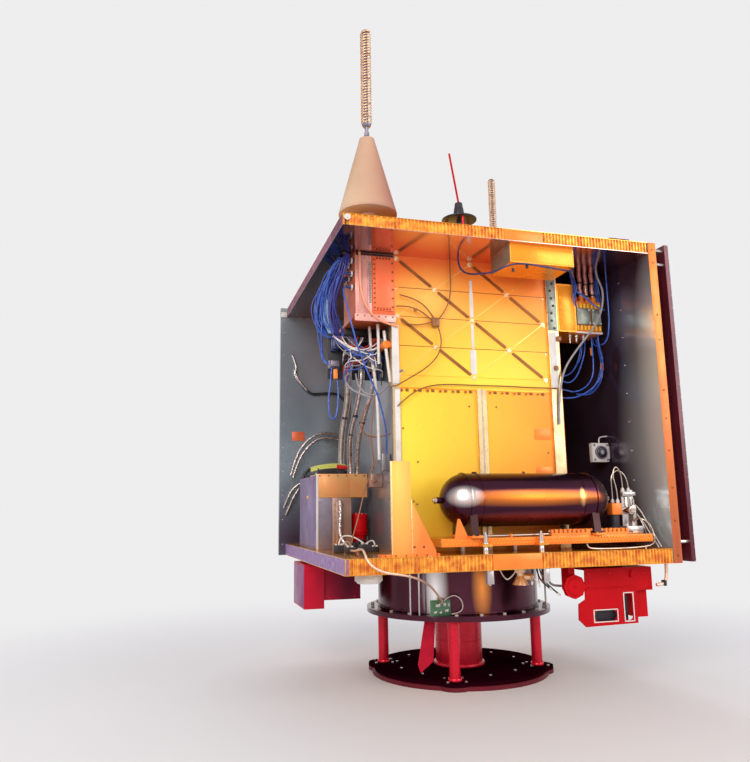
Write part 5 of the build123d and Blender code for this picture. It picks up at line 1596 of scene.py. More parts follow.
@dataclass
class CornerBoxes(Assembly):
    """Corner unit, its bridge box, terminal column, wheel housing, side plate, plugs and gusset."""

    bridge_h: float = 76.0

    def build(self) -> None:
        """Dress the boxes at the lower left."""
        self.unit = limits("corner_unit")
        self.column = limits("terminal_column")
        self.make_unit()
        self.make_column()
        self.make_wheel()
        self.make_side_plate()
        self.make_plugs()
        self.make_gusset()

    def make_unit(self) -> None:
        """Make the grey corner box with a painted highlight along its front left edge and painted shade on its purple
        left side, the orange bridge box on top and its tape.
        """
        unit = self.unit
        shelf = unit.head - self.bridge_h
        self.solid(
            "corner_box", "grey_box",
            Form().box((unit.left, self.column.right), unit.y, (unit.foot, shelf), 1.6)
            .screws([(unit.left + 10, unit.front, h) for h in spaced(unit.foot + 14, shelf - 14, 4)], 2.6, 2.0),
            "grey_box", ("corner_unit",))
        self.solid(
            "bridge_box", "bridge_orange",
            Form().box(unit.x, (unit.front, unit.front + 120), (shelf, unit.head), 1.6)
            .box((unit.left + 20, unit.right - 60), (unit.front - 2, unit.front), (shelf + 8, unit.head - 8), 1.0))
        self.solid(
            "bridge_screws", "rib_brown",
            Form().screws(
                [(x, unit.front, unit.head - 6) for x in spaced(unit.left + 10, unit.right - 10, 6)], 2.4, 2.0))
        # painted shade: a purple sheet over the box's shaded left face
        self.solid(
            "corner_side_sheet", "purple_side",
            Form().box(
                (unit.left - 1.2, unit.left), (unit.front + 4, unit.back - 4), (unit.foot + 4, unit.head - 4), 0.5))
        # painted highlight: a pale strip along the box's front left edge
        self.solid(
            "corner_bright_edge", "white_part",
            Form().box((unit.left - 1.6, unit.left + 5), (unit.front - 1.6, unit.front + 4), unit.h, 0.8))
        self.solid(
            "yellow_tape_wrap", "yellow_tape",
            Form().box(
                (unit.left + 16, unit.left + 96), (unit.front + 60, unit.front + 112), (unit.head, unit.head + 9), 3.5)
            .bar(
                (unit.left - 2, unit.front + 150, unit.head - 74), (unit.left + 60, unit.front + 80, unit.head + 8), 5,
                5, 12))

    def make_column(self) -> None:
        """Make the tan terminal column with its braided cable and rings."""
        column = self.column
        self.solid(
            "terminal_column_body", "tan_metal",
            Form().box(column.x, (column.front + 10, column.back), column.h, 1.4)
            .box(
                (column.right - 52, column.right - 30), (column.front, column.front + 10),
                (column.foot + 20, column.head - 12), 2.0)
            .screws(
                [(column.left + 6, column.front + 10, h) for h in spaced(column.foot + 28, column.head - 24, 7)], 2.4,
                1.8),
            replaces=("terminal_column",))
        middle = column.right - 41
        braid = [
            [(middle, column.front - 5, column.head - 10), (middle + 3, column.front - 8, column.head - 50),
             (middle - 3, column.front - 7, column.head - 100), (middle + 4, column.front - 10, column.foot + 30),
             (middle + 22, column.front - 30, column.foot + 8), (middle + 30, column.front - 60, column.foot + 6)]]
        self.leads("braided_cable", braid, 5.6, "foil_wrap", rounds=4)
        rings = Form()
        for h in spaced(column.foot + 50, column.head - 24, 5):
            rings.bar((middle, column.front - 7, h - 2), (middle, column.front - 7, h + 2), 7.4, sides=16, bevel=0.6)
        self.solid("braid_rings", "pale_metal", rings)

    def make_wheel(self) -> None:
        """Make the red wheel housing with its flange, cap and screws, and the dark plugs at its foot."""
        wheel = limits("wheel_housing")
        x, y, _ = wheel.middle
        self.solid(
            "wheel_case", "bright_red",
            Form().bar((x, y, wheel.foot), (x, y, wheel.foot + 41), 23, sides=36)
            .bar((x, y, wheel.foot + 41), (x, y, wheel.head - 4), 29, sides=48, bevel=1.5)
            .bar((x, y, wheel.head - 16), (x, y, wheel.head - 8), 31, sides=48, bevel=1.0)
            .bar((x, y, wheel.foot + 52), (x, y, wheel.foot + 58), 31, sides=48, bevel=1.0)
            .bar((x, y, wheel.head - 4), (x, y, wheel.head), 18, sides=30, bevel=1.0),
            replaces=("wheel_housing",))
        self.solid(
            "wheel_screws", "pale_metal",
            Form().screws([(px, py, wheel.head - 4) for px, py in circle(x, y, 25, 8, 0.2)], 2.2, 2.0, UP))
        base = Form()
        base.box(
            (self.column.right + 2, limits("side_plate").left + 10), (self.unit.front - 6, self.unit.front + 70),
            (DECK_TOP, DECK_TOP + 20), 2.0)
        for px, py, tall in ((-352, -60, 34), (-338, -48, 26), (-322, -62, 40), (-330, -30, 30)):
            base.bar((px, py, DECK_TOP), (px, py, DECK_TOP + tall), 6.0, 5.0, 14, 0.8)
        self.solid("wheel_base", "black_part", base)

    def make_side_plate(self) -> None:
        """Make the plate and sheet on the tower's left face with their plug block."""
        plate = limits("side_plate")
        tower = limits("tower_lower")
        face = tower.left - 6
        self.solid(
            "side_plate_body", "grey_sheet",
            Form().box((face, tower.left), plate.y, (plate.foot, plate.foot + 266), 1.0)
            .box((tower.left - 30, face), (plate.front, plate.front + 24), (plate.foot + 236, plate.head), 2.0)
            .screws(
                [(face, plate.front + 10, h) for h in spaced(plate.foot + 20, plate.foot + 246, 6)], 2.6, 2.0, LEFT),
            replaces=("side_plate",))
        self.solid(
            "tower_side_sheet", "grey_sheet",
            Form().box((tower.left - 0.8, tower.left), (tower.front + 4, tower.back - 5), (44, 735), 0.2))
        x, h = tower.left - 36, plate.foot + 211
        self.solid(
            "side_plug_block", "tan_metal",
            Form().box((tower.left - 44, face), (-160, -132), (plate.foot + 190, plate.foot + 232), 2.5)
            .bar((x, -160, h), (x, -168, h), 8, 7, 16, 0.8))

    def make_plugs(self) -> None:
        """Make the plugs on the corner unit and on the deck, with nuts and short leads."""
        plugs = (
            (-446, -16, 280, 60, 20, 18), (-398, -10, 280, 28, 26, 30), (-375, 42, 280, 20, 20, 14),
            (-454, -228, DECK_TOP, 30, 18, 22), (-432, -276, DECK_TOP, 26, 18, 18), (-382, -250, DECK_TOP, 30, 20, 24),
            (-348, -238, DECK_TOP, 22, 18, 16))
        body = Form()
        nuts = Form()
        for x, y, h, w, d, tall in plugs:
            body.box((x - w / 2, x + w / 2), (y - d / 2, y + d / 2), (h, h + tall), 1.8)
            nuts.bar((x - w / 4, y, h + tall), (x - w / 4, y, h + tall + 4), 3.4, sides=6)
            nuts.bar((x + w / 4, y, h + tall), (x + w / 4, y, h + tall + 4), 3.4, sides=6)
        self.solid("small_plugs", "black_part", body, replaces=("deck_plugs",))
        self.solid("small_plug_nuts", "white_part", nuts)
        routes = (
            [(-454, -228, 64), (-450, -222, 84), (-430, -214, 92), (-400, -228, 84), (-384, -248, 68)],
            [(-348, -238, 60), (-346, -226, 76), (-356, -200, 72), (-376, -190, 54), (-392, -192, 46)],
            [(-440, -214, 64), (-424, -196, 78), (-404, -180, 60), (-396, -150, 46), (-396, -110, 46)])
        self.leads("deck_leads", routes, 2.2, "white_jacket", rounds=2)

    def make_gusset(self) -> None:
        """Make the folded lips and the screws of the front gusset."""
        gusset = limits("gusset_bracket")
        face = gusset.front
        lip = gusset.left + 26
        self.solid(
            "gusset_lips", "pad_metal",
            Form().box((lip, lip + 3), (face - 1.2, face + 0.2), (gusset.foot + 6, gusset.head), 0.6)
            .box((lip + 55, lip + 57), (face - 1.6, face + 0.2), (gusset.foot + 8, gusset.foot + 146), 0.6),
            "orange_box")
        self.solid(
            "gusset_screws", "rib_brown",
            Form().screws(
                [(x, face, gusset.foot + 3) for x in spaced(gusset.left + 8, gusset.right - 10, 6)], 2.2, 1.4)
            .screws(
                [(x, face, h) for x, h in ((lip + 62, 184.0), (lip + 72, 176.0), (lip + 62, 66.0), (lip + 88, 66.0))],
                3.0, 1.8))


# Upper right


@dataclass
class RightHarness(Assembly):
    """Connector block, wrapped leads and blue loops right of the tower, with the leads over its face."""

    coax_r: float = 2.6

    def build(self) -> None:
        """Make the right harness."""
        self.block = limits("connector_block")
        self.make_connectors()
        self.make_wraps()
        self.make_loops()
        self.make_face_leads()
        self.make_roof_box()

    def make_connectors(self) -> None:
        """Make the connector block with its grey sockets, clips and pale lower edge."""
        block = self.block
        self.solid(
            "connector_body", "edge_strip", Form().box(block.x, (block.front + 10, block.back), block.h, 2.0),
            "grey_box", ("connector_block",))
        sockets = Form()
        for left, right in ((block.left + 4, block.left + 54), (block.left + 60, block.left + 94)):
            sockets.box((left, right), (block.front, block.front + 10), (block.foot + 28, block.foot + 84), 2.0)
        self.solid("grey_sockets", "rail_green", sockets, "grey_box")
        self.solid(
            "pale_lower_edge", "white_part",
            Form().box(block.x, (block.front + 6, block.front + 12), (block.foot, block.foot + 6), 1.0))
        screws = Form().screws(
            [(block.left + dx, block.front, block.foot + dh) for dx in (8, 50, 64, 90) for dh in (34, 78)], 2.6, 2.4)
        self.solid("socket_screws", "white_part", screws, "silver")
        clips = Form()
        for x in spaced(block.left + 8, block.right - 10, 7):
            clips.box((x - 4, x + 4), (block.front + 1, block.front + 10), (block.foot + 84, block.foot + 100), 1.2)
            clips.box((x - 4, x + 3), (block.front + 2, block.front + 10), (block.foot + 10, block.foot + 26), 1.2)
        self.solid("socket_clips", "yellow_tape", clips)

    def make_wraps(self) -> None:
        """Make the foil-wrapped leads with dark bands from the ceiling into the block, and the tips below it."""
        block = self.block
        ceiling = limits("top_panel").foot
        wraps = []
        bands = Form()
        boots = Form()
        for k, x in enumerate((14, 38, 62, 84)):
            px = block.left + x
            py = block.front + 34 - 3 * (k % 2)
            wraps.append(
                [(px, py, block.head), (px + 2, py - 2, block.head + 24), (px - 4, py - 6, block.head + 50),
                 (px + 3, py - 2, block.head + 76), (px, py, ceiling)])
            for j in range(3):
                h = block.head + 22 + 20 * j + 5 * (k % 2)
                bands.bar((px, py - 3, h - 3), (px, py - 3, h + 3), 9.2, sides=16, bevel=0.6)
            boots.box((px - 8, px + 8), (py - 12, py + 8), (block.head, block.head + 20), 3.0)
        self.leads("wrapped_leads", wraps, 7.4, "pink_foil", replaces=("upper_harness",), rounds=4)
        self.solid("wrap_bands", "black_part", bands)
        self.solid("orange_boots", "edge_strip", boots)
        tips = Form()
        for x, length in ((20, 30), (44, 26), (70, 22)):
            px, py, foot = block.left + x - 30, block.front + 30, block.foot
            tips.bar((px, py, foot), (px, py, foot - 10), 7.5, 6.5, 16, 0.8)
            tips.bar((px, py, foot - 10), (px, py, foot - length), 4.2, 2.6, 14)
        self.solid("plug_tips", "foil_wrap", tips)
        self.solid(
            "heat_shrink", "edge_strip",
            Form().bar((448, -250, 636), (447, -250, 612), 5.6, 5.0, 16, 1.0)
            .bar((418, -240, 690), (420, -236, 664), 5.4, 4.8, 16, 1.0))

    def make_loops(self) -> None:
        """Make the blue leads that loop below the connector block and beside it."""
        held = [
            [(422, -276, 724), (422, -276, 690), (438, -270, 640), (436, -262, 590), (406, -250, 548),
             (356, -238, 520), (314, -234, 516), (284, -234, 516)],
            [(414, -250, 724), (414, -250, 690), (418, -246, 640), (414, -244, 588), (386, -240, 552),
             (346, -232, 536), (314, -228, 546), (284, -228, 546)],
            [(406, -222, 724), (406, -222, 690), (390, -222, 640), (366, -222, 590), (336, -222, 568),
             (310, -222, 576), (284, -222, 576)],
            [(446, -310, 934), (446, -310, 860), (447, -311, 780), (444, -300, 700), (430, -262, 690),
             (424, -240, 700), (424, -240, 724)]]
        self.leads("right_blue_leads", held, self.coax_r, "blue_jacket", replaces=("right_coax",))
        bow = [
            (436, -240, 722), (452, -236, 680), (462, -230, 630), (452, -228, 580), (424, -232, 545), (388, -236, 528),
            (352, -240, 530)]
        inner = [(398, -214, 722), (396, -210, 680), (380, -206, 636), (352, -204, 600), (326, -204, 596)]
        upright = [
            (440, -262, 932), (436, -266, 890), (441, -262, 850), (436, -256, 810), (440, -240, 770), (438, -236, 726)]
        strands = bundle(bow, 3, 8.0, 0.2) + bundle(inner, 2, 6.0, 0.3) + bundle(upright, 6, 10.0, 0.5)
        left_of_wraps = [(326, -288, 932), (322, -300, 900), (330, -306, 868), (324, -300, 838), (334, -296, 808)]
        strands += bundle(left_of_wraps, 4, 9.0, 0.6)
        across = [(330, -306, 862), (348, -318, 846), (372, -320, 824), (400, -318, 806), (428, -314, 802)]
        strands += bundle(across, 2, 5.0, 0.4)
        self.leads("right_blue_bundle", strands, self.coax_r * 0.85, "blue_jacket", rounds=2)

    def make_face_leads(self) -> None:
        """Make the grey, brown and coral leads over the tower's face and the lead under the roof, with their ties."""
        grey = [
            [(404, -318, 934), (404, -318, 915), (426, -320, 866), (416, -320, 800), (386, -322, 744),
             (340, -322, 694), (292, -322, 638), (262, -320, 594), (248, -316, 540), (240, -313, 480), (238, -312, 420)
            ]]
        self.leads("grey_lead", grey, 3.4, "grey_jacket", replaces=("right_lead",))
        brown = [
            [(-112, -311, 934), (-112, -311, 890), (-113, -312, 820), (-128, -312, 770), (-154, -312, 738)],
            [(-292, -316, 768), (-262, -316, 771), (-222, -314, 763), (-188, -312, 742), (-178, -312, 732)],
            [(-160, -312, 714), (-150, -313, 690), (-150, -314, 650), (-168, -316, 612), (-208, -318, 576),
             (-256, -320, 548), (-296, -322, 524)],
            [(-292, -312, 464), (-262, -312, 492), (-226, -312, 516), (-180, -311, 531), (-120, -311, 535),
             (-40, -311, 534), (60, -311, 535), (150, -311, 533), (240, -311, 534)],
            [(-276, -310, 722), (-240, -311, 712), (-200, -312, 718), (-178, -312, 726)],
            [(-280, -312, 806), (-250, -314, 800), (-214, -314, 786), (-186, -313, 762), (-172, -312, 740)]]
        self.leads("brown_face_leads", brown, 2.0, "brown_jacket", replaces=("face_cables",))
        roof = [
            [(-92, -330, 934), (-92, -330, 905), (-76, -350, 874), (-54, -400, 860), (-30, -450, 850), (-6, -484, 862),
             (36, -493, 870), (100, -493, 866), (170, -489, 862), (220, -462, 868), (244, -436, 884), (244, -430, 908),
             (244, -430, 934)]]
        self.leads("roof_lead", roof, 2.8, "navy_plug", "blue_coax")
        coral = [
            [(-402, -304, 934), (-402, -309, 900), (-403, -309, 860), (-400, -310, 806), (-380, -311, 752),
             (-350, -312, 724), (-318, -313, 712), (-288, -312, 706)]]
        self.leads("coral_cable", coral, 3.4, "coral_jacket")
        self.solid(
            "lead_ties", "brown_jacket",
            Form().box((-178, -154), (-318, -305), (712, 740), 3.0).box((-236, -226), (-318, -311), (756, 766), 1.5)
            .box((246, 262), (-316, -306), (688, 704), 2.0).box((232, 246), (-317, -306), (592, 606), 2.0))
        pins = Form()
        for x, h in ((14, 848), (60, 862), (206, 858)):
            pins.bar((x, -487, h - 4), (x, -487, h + 6), 4.0, sides=12)
        self.solid("roof_lead_clips", "black_part", pins)

    def make_roof_box(self) -> None:
        """Make the grey left end of the box under the roof, which is painted shade, and its bright front, and dress the
        side module.
        """
        box = limits("ceiling_box")
        # painted shade: a dark grey-green sheet on the box's shaded left end
        self.solid(
            "roof_box_end", "rail_green",
            Form().box((box.left - 1.0, box.left), (box.front + 1, box.back - 1), (box.foot + 1, box.head - 1), 0.4))
        self.solid(
            "roof_box_front", "seam_gold",
            Form().box((box.left + 4, box.right - 4), (box.front - 1.0, box.front), (box.foot + 4, box.head - 8), 0.5))
        module = limits("right_module")
        face = Form()
        face.box(
            (module.left + 6, module.right - 4), (module.front - 1.4, module.front),
            (module.foot + 6, module.head - 6), 0.8)
        for h in spaced(module.foot + 14, module.head - 14, 5):
            face.screws([(x, module.front - 1.4, h) for x in (module.left + 10, module.right - 8)], 2.4, 1.6)
        self.solid("side_module_front", "seam_gold", face)


# Propulsion


@dataclass
class PropulsionBay(Assembly):
    """Tank with its bands and ports, saddles, tray, combs, valves and tubes."""

    tube_r: float = 2.4

    def build(self) -> None:
        """Dress the propulsion bay."""
        self.tank = limits("pressure_tank")
        self.tray = limits("propulsion_tray")
        self.make_tank_fittings()
        self.make_tray()
        self.make_combs()
        self.make_valves()
        self.make_tubes()

    def make_tank_fittings(self) -> None:
        """Make the tank's ports with their nuts, its welds and bosses, and the feet and cheek of its saddles."""
        _, y, h = self.tank.middle
        left, right = self.tank.left, self.tank.right
        self.solid(
            "tank_ports", "steel_tube",
            Form().bar((left, y, h), (left - 12, y, h), 7.0, 5.0, 18, 0.8)
            .bar((left - 3, y, h), (left - 9, y, h), 10.0, sides=6)
            .bar((right, y, h), (right + 4, y, h), 8.0, 6.0, 18, 0.6)
            .bar((right - 8, y, h), (right - 3, y, h), 12.0, sides=6),
            "tank_metal")
        welds = Form()
        reach = (self.tank.head - self.tank.foot) / 2
        for x in (left + reach, right - reach):
            welds.bar((x - 2.5, y, h), (x + 2.5, y, h), reach + 0.7, sides=96, bevel=0.4)
        self.solid("tank_welds", "tank_polish", welds)
        top = self.tank.head
        self.solid(
            "tank_bosses", "tank_polish",
            Form().bar((-96, y, top - 4), (-96, y, top + 3), 8.0, 6.5, 20, 0.8)
            .bar((60, y, top - 4), (60, y, top + 2), 5.0, 4.0, 16, 0.6))
        saddle = limits("tank_saddles")
        straps = Form()
        for x in (saddle.left, saddle.right - 22):
            straps.box((x - 6, x + 28), (saddle.front - 14, saddle.back), (saddle.foot, saddle.foot + 6), 1.5)
            straps.screws([(x + dx, saddle.front - 8, saddle.foot + 6) for dx in (2, 20)], 3.0, 2.6, UP)
        self.solid("saddle_feet", "edge_strip", straps, "silver")
        cheek = Form()
        x = saddle.left - 46
        cheek.box((x, x + 40), (saddle.front + 10, saddle.front + 14), (saddle.foot, saddle.foot + 52), 0.0)
        peak = [v for v in cheek.mesh.verts if v.co.z > at(0, 0, saddle.foot + 30).z]
        bmesh.ops.scale(
            cheek.mesh, vec=Vector((0.15, 1.0, 1.0)), verts=peak, space=Matrix.Translation(-at(x + 12, 0, 0)))
        self.solid("saddle_cheek", "edge_strip", cheek, "silver")

    def make_tray(self) -> None:
        """Make the tray's front strip with its pips, and the feet and nuts of its posts."""
        tray = self.tray
        front = tray.front + 28
        self.solid(
            "tray_front_strip", "edge_strip", Form().box(tray.x, (front - 1.6, front + 1), tray.h, 0.6), "honeycomb")
        pips = Form()
        x = tray.left + 8
        while x < tray.right - 8:
            pips.bar((x, front - 1.6, tray.head - 6), (x, front - 3.2, tray.head - 6), 3.4, 2.6, 8)
            pips.bar((x + 5, front - 1.6, tray.foot + 7), (x + 5, front - 3.2, tray.foot + 7), 3.4, 2.6, 8)
            x += 10.0
        self.solid("tray_pips", "seam_gold", pips, "honeycomb")
        posts = Form()
        y = -482.0
        for x in (-106.0, 61.0):
            posts.bar((x, y, DECK_TOP), (x, y, DECK_TOP + 18), 7.5, sides=20, bevel=1.0)
            posts.bar((x, y, tray.foot + 6), (x, y, tray.foot + 26), 5.6, sides=6)
            posts.bar((x, y, tray.foot + 26), (x, y, tray.foot + 38), 3.6, 3.0, 14)
            posts.bar((x, y, tray.foot + 6), (x, y, tray.foot + 9), 9.5, sides=24, bevel=0.6)
        self.solid("post_nuts", "pale_metal", posts)

    def make_combs(self) -> None:
        """Make the pipe clips on the combs and the row of small pipes that they hold."""
        comb = limits("pipe_comb")
        y, h = comb.front + 8, comb.foot + 13
        front, top = self.tray.front, self.tray.head
        pipes = [
            [(comb.left - 6, y, h), (comb.left + 60, y, h), (comb.right - 60, y, h), (comb.right + 4, y + 1, h - 1),
             (comb.right + 26, y + 10, h - 7)],
            [(-130, front + 34, top + 5), (-60, front + 34, top + 5), (20, front + 34, top + 5),
             (96, front + 36, top + 6)]]
        self.leads("comb_pipes", pipes, 2.6, "steel_tube")
        clips = Form()
        for x in spaced(comb.left + 14, comb.right - 20, 14):
            clips.box((x - 2, x + 2), (comb.front + 2, comb.front + 14), (comb.foot + 14, comb.foot + 19), 0.8)
        for x in (-118, -20, 76):
            clips.box((x - 4, x + 4), (front + 29, front + 39), (top, top + 9), 1.0)
        self.solid("pipe_clips", "edge_strip", clips)

    def make_valves(self) -> None:
        """Make the valve bracket's plate, valve bodies, filter and their nuts."""
        bracket = limits("valve_bracket")
        plate_left = 386.0
        face = -392.0
        self.solid(
            "valve_plate", "pale_metal",
            Form().box((plate_left, plate_left + 42), (face, face + 6), (84, 212), 1.2)
            .box((plate_left, bracket.right), (face + 6, face + 42), (84, 89), 1.0)
            .box((plate_left - 4, plate_left + 42), (face - 14, face), (194, 206), 2.0)
            .box((plate_left - 16, plate_left + 42), (face - 40, face), (84, 106), 3.0),
            "white_part", ("valve_bracket",))
        x, h = 399.5, 151.0
        self.solid(
            "valve_bodies", "steel_tube",
            Form().bar((x, face - 30, h), (x, face, h), 12, sides=28, bevel=1.2)
            .bar((x, face - 36, h), (x, face - 30, h), 8, sides=6)
            .bar((420, face - 9, 97), (420, face - 9, 167), 8, sides=22, bevel=1.5)
            .bar((420, face - 9, 167), (420, face - 9, 186), 4, sides=14)
            .bar((402, face - 12, 160), (402, face - 12, 194), 3.4, sides=14))
        self.solid(
            "filter_case", "black_part",
            Form().bar((354, -400, 84), (354, -400, 139), 13, sides=28, bevel=1.2)
            .bar((354, -400, 100), (354, -400, 108), 15, sides=6))
        self.solid("red_valve_block", "edge_strip", Form().box((337, 371), (-415, -385), (139, 173), 2.5), "red_cover")
        nuts = Form()
        for x, y, h in (
            (354, -394, 173), (362, -408, 173), (408, -399, 206), (388, -399, 206), (424, -372, 89), (404, -418, 106)):
            nuts.bar((x, y, h), (x, y, h + 9), 5.2, sides=6)
            nuts.bar((x, y, h + 9), (x, y, h + 13), 4.2, 3.0, 12)
        self.solid("tube_nuts", "white_part", nuts, "silver")

    def make_tubes(self) -> None:
        """Make the thin steel tubes between tank, valves and deck."""
        tubes = [
            [(354, -394, 173), (354, -394, 205), (350, -398, 250), (366, -399, 272), (392, -399, 266),
             (408, -399, 236), (408, -399, 206)],
            [(362, -408, 173), (362, -408, 214), (348, -410, 252), (358, -410, 284), (376, -408, 272),
             (388, -399, 236), (388, -399, 206)],
            [(424, -372, 89), (424, -372, 112), (436, -370, 140), (456, -374, 134), (464, -388, 92), (456, -414, 62),
             (430, -448, 52), (402, -470, 52), (402, -470, 42)],
            [(404, -418, 106), (404, -418, 122), (412, -440, 130), (432, -454, 114), (444, -458, 80), (430, -474, 52),
             (370, -484, 47), (300, -487, 46), (214, -487, 47), (200, -487, 54), (200, -487, 62)]]
        self.leads("steel_tubes", tubes, self.tube_r, "steel_tube", replaces=("tank_pipes",), rounds=4)
        black = (
            [(430, -380, 176), (446, -390, 160), (456, -410, 118), (462, -440, 70), (456, -470, 46)],
            [(430, -386, 150), (440, -404, 128), (446, -430, 90), (448, -456, 58), (440, -478, 46)])
        self.leads("valve_leads", black, 1.8, "white_jacket", rounds=2)


# Below the deck and the stand


@dataclass
class Covers(Assembly):
    """Red covers, caps, thruster and small fittings below the deck."""

    def build(self) -> None:
        """Dress everything that hangs below the deck."""
        self.make_right_cover()
        self.make_left_cover()
        self.make_sensor()
        self.make_thruster()
        self.make_deck_tails()
        self.make_corner_leads()

    def make_right_cover(self) -> None:
        """Make the pale rims of the cover's slots, its fold and rivets, and the dark plate behind the slots."""
        cover = limits("right_cover")
        face = cover.front
        rims = Form()
        depth = (face - 1.6, face)
        for x0, x1, h0, h1 in ((242.0, 316.0, -158.0, -128.0), (342.0, 370.0, -160.0, -84.0)):
            rims.box((x0 - 2, x1 + 2), depth, (h0 - 3, h0), 0.6)
            rims.box((x0 - 2, x1 + 2), depth, (h1, h1 + 3), 0.6)
            rims.box((x0 - 3, x0), depth, (h0 - 3, h1 + 3), 0.6)
            rims.box((x1, x1 + 3), depth, (h0 - 3, h1 + 3), 0.6)
        self.solid("slot_rims", "white_part", rims)
        self.solid(
            "cover_folds", "bright_red",
            Form().bar((cover.left + 34, face - 0.4, -66), (cover.right - 66, face - 0.4, -66), 2.2, sides=14)
            .box((cover.right - 74, cover.right - 66), (face - 6, face), (-40, -22), 1.0))
        self.solid(
            "cover_rivets", "red_anodised",
            Form().screws(
                [(x, face, h)
                 for x, h in (
                     (230, -26), (300, -26), (372, -26), (226, -146), (330, -164), (378, -160), (416, -30), (416, -66))
                ],
                2.8, 1.4))
        self.solid(
            "cover_shadow_plate", "black_part",
            Form().box((cover.left + 40, cover.right - 80), (cover.front + 12, cover.front + 16), (-165, -30), 0.5))

    def make_left_cover(self) -> None:
        """Make the left cover's rivets and purple-lit side."""
        cover = limits("left_cover")
        self.solid(
            "left_cover_side", "cover_side",
            Form().box((cover.left - 1.0, cover.left), (cover.front + 3, cover.back - 3), (cover.foot + 4, -16), 0.5))
        rivets = Form()
        for x, h in (
            (-486, -24), (-436, -24), (-486, -148), (-436, -148), (-410, -26), (-320, -26), (-410, -120), (-320, -120)
        ):
            front = cover.front if x < -427 else cover.front + 12
            rivets.screws([(x, front, h)], 2.8, 1.4)
        self.solid("left_cover_rivets", "red_anodised", rivets)

    def make_sensor(self) -> None:
        """Make the deck sensor's round case."""
        sensor = limits("deck_sensor")
        x, y, _ = sensor.middle
        self.solid(
            "deck_sensor_case", "white_part",
            Form().bar((x, y, 0), (x, y, -20), 36, 37, 48, 1.0).bar((x, y, -20), (x, y, -26), 34, 30, 48, 1.0),
            replaces=("deck_sensor",))

    def make_thruster(self) -> None:
        """Make the thruster's nozzle with its throat, valve and leads."""
        x, y = 13.0, -440.0
        self.solid(
            "thruster_body", "gold_wire",
            Form().bar((x, y, 0), (x, y, -14), 16, sides=28, bevel=1.0).bar((x, y, -14), (x, y, -22), 9, 9, 24)
            .bar((x, y, -22), (x, y, -46), 10, 23, 36).bar((x + 8, y, -26), (x + 38, y, -26), 9, 9, 24, 1.2)
            .bar((x + 30, y, -26), (x + 35, y, -26), 11, sides=6),
            replaces=("thruster",))
        leads = (
            [(x + 38, y, -26), (x + 50, y - 8, -40), (x + 58, y - 4, -58), (x + 66, y + 20, -40), (x + 70, y + 30, -2)
            ],
            [(x - 10, y, -6), (x - 30, y - 6, -26), (x - 44, y + 6, -34), (x - 52, y + 20, -4)])
        self.leads("thruster_leads", leads, 1.8, "white_jacket", rounds=2)

    def make_deck_tails(self) -> None:
        """Make the leads that hang from the deck with their tips, and the deck's two feet."""
        tails = (
            [(58, -426, 0), (56, -430, -20), (52, -434, -40)],
            [(74, -420, 0), (76, -424, -26), (88, -430, -46), (106, -432, -60)],
            [(88, -410, 0), (92, -414, -32), (112, -424, -58), (134, -428, -76)])
        self.leads("deck_tails", tails, 2.4, "black_jacket", rounds=2)
        tips = Form()
        for route in tails:
            end = Vector(route[-1])
            ahead = (end - Vector(route[-2])).normalized()
            tips.bar(tuple(end - ahead * 2), tuple(end + ahead * 9), 3.4, 2.6, 14, 0.5)
        self.solid("deck_tail_tips", "white_part", tips)
        blocks = Form()
        for left in (-108.0, 59.0):
            blocks.box((left, left + 18), (-492, -476), (-36, 0), 2.0)
            blocks.bar((left + 9, -484, -36), (left + 9, -484, -40), 4, sides=6)
        self.solid("deck_feet", "pale_metal", blocks)

    def make_corner_leads(self) -> None:
        """Make the foil lead at the right corner, the grey lead to the eight-sided cap, its face and two clips."""
        foil = [[(478, -454, 0), (478, -454, -24), (474, -454, -52), (458, -454, -63), (440, -454, -62)]]
        self.leads("corner_foil_lead", foil, 5.0, "lead_foil", replaces=("corner_leads",))
        grey = [[(104, -430, 0), (104, -430, -24), (112, -422, -48), (138, -410, -58), (169, -410, -58)]]
        self.leads("cap_lead", grey, 3.4, "grey_jacket")
        cap = limits("nozzle_cap")
        x = cap.middle[0]
        self.solid(
            "cap_face", "bright_red",
            Form().bar((x, cap.front - 0.1, -58), (x, cap.front - 2.2, -58), 25, 23.5, 8)
            .screws([(x, cap.front - 2.2, -58)], 4.0, 2.0))
        self.solid(
            "lead_clips", "black_part",
            Form().box((462, 470), (-462, -446), (-66, -50), 1.5).box((98, 110), (-436, -424), (-8, 0), 1.5))


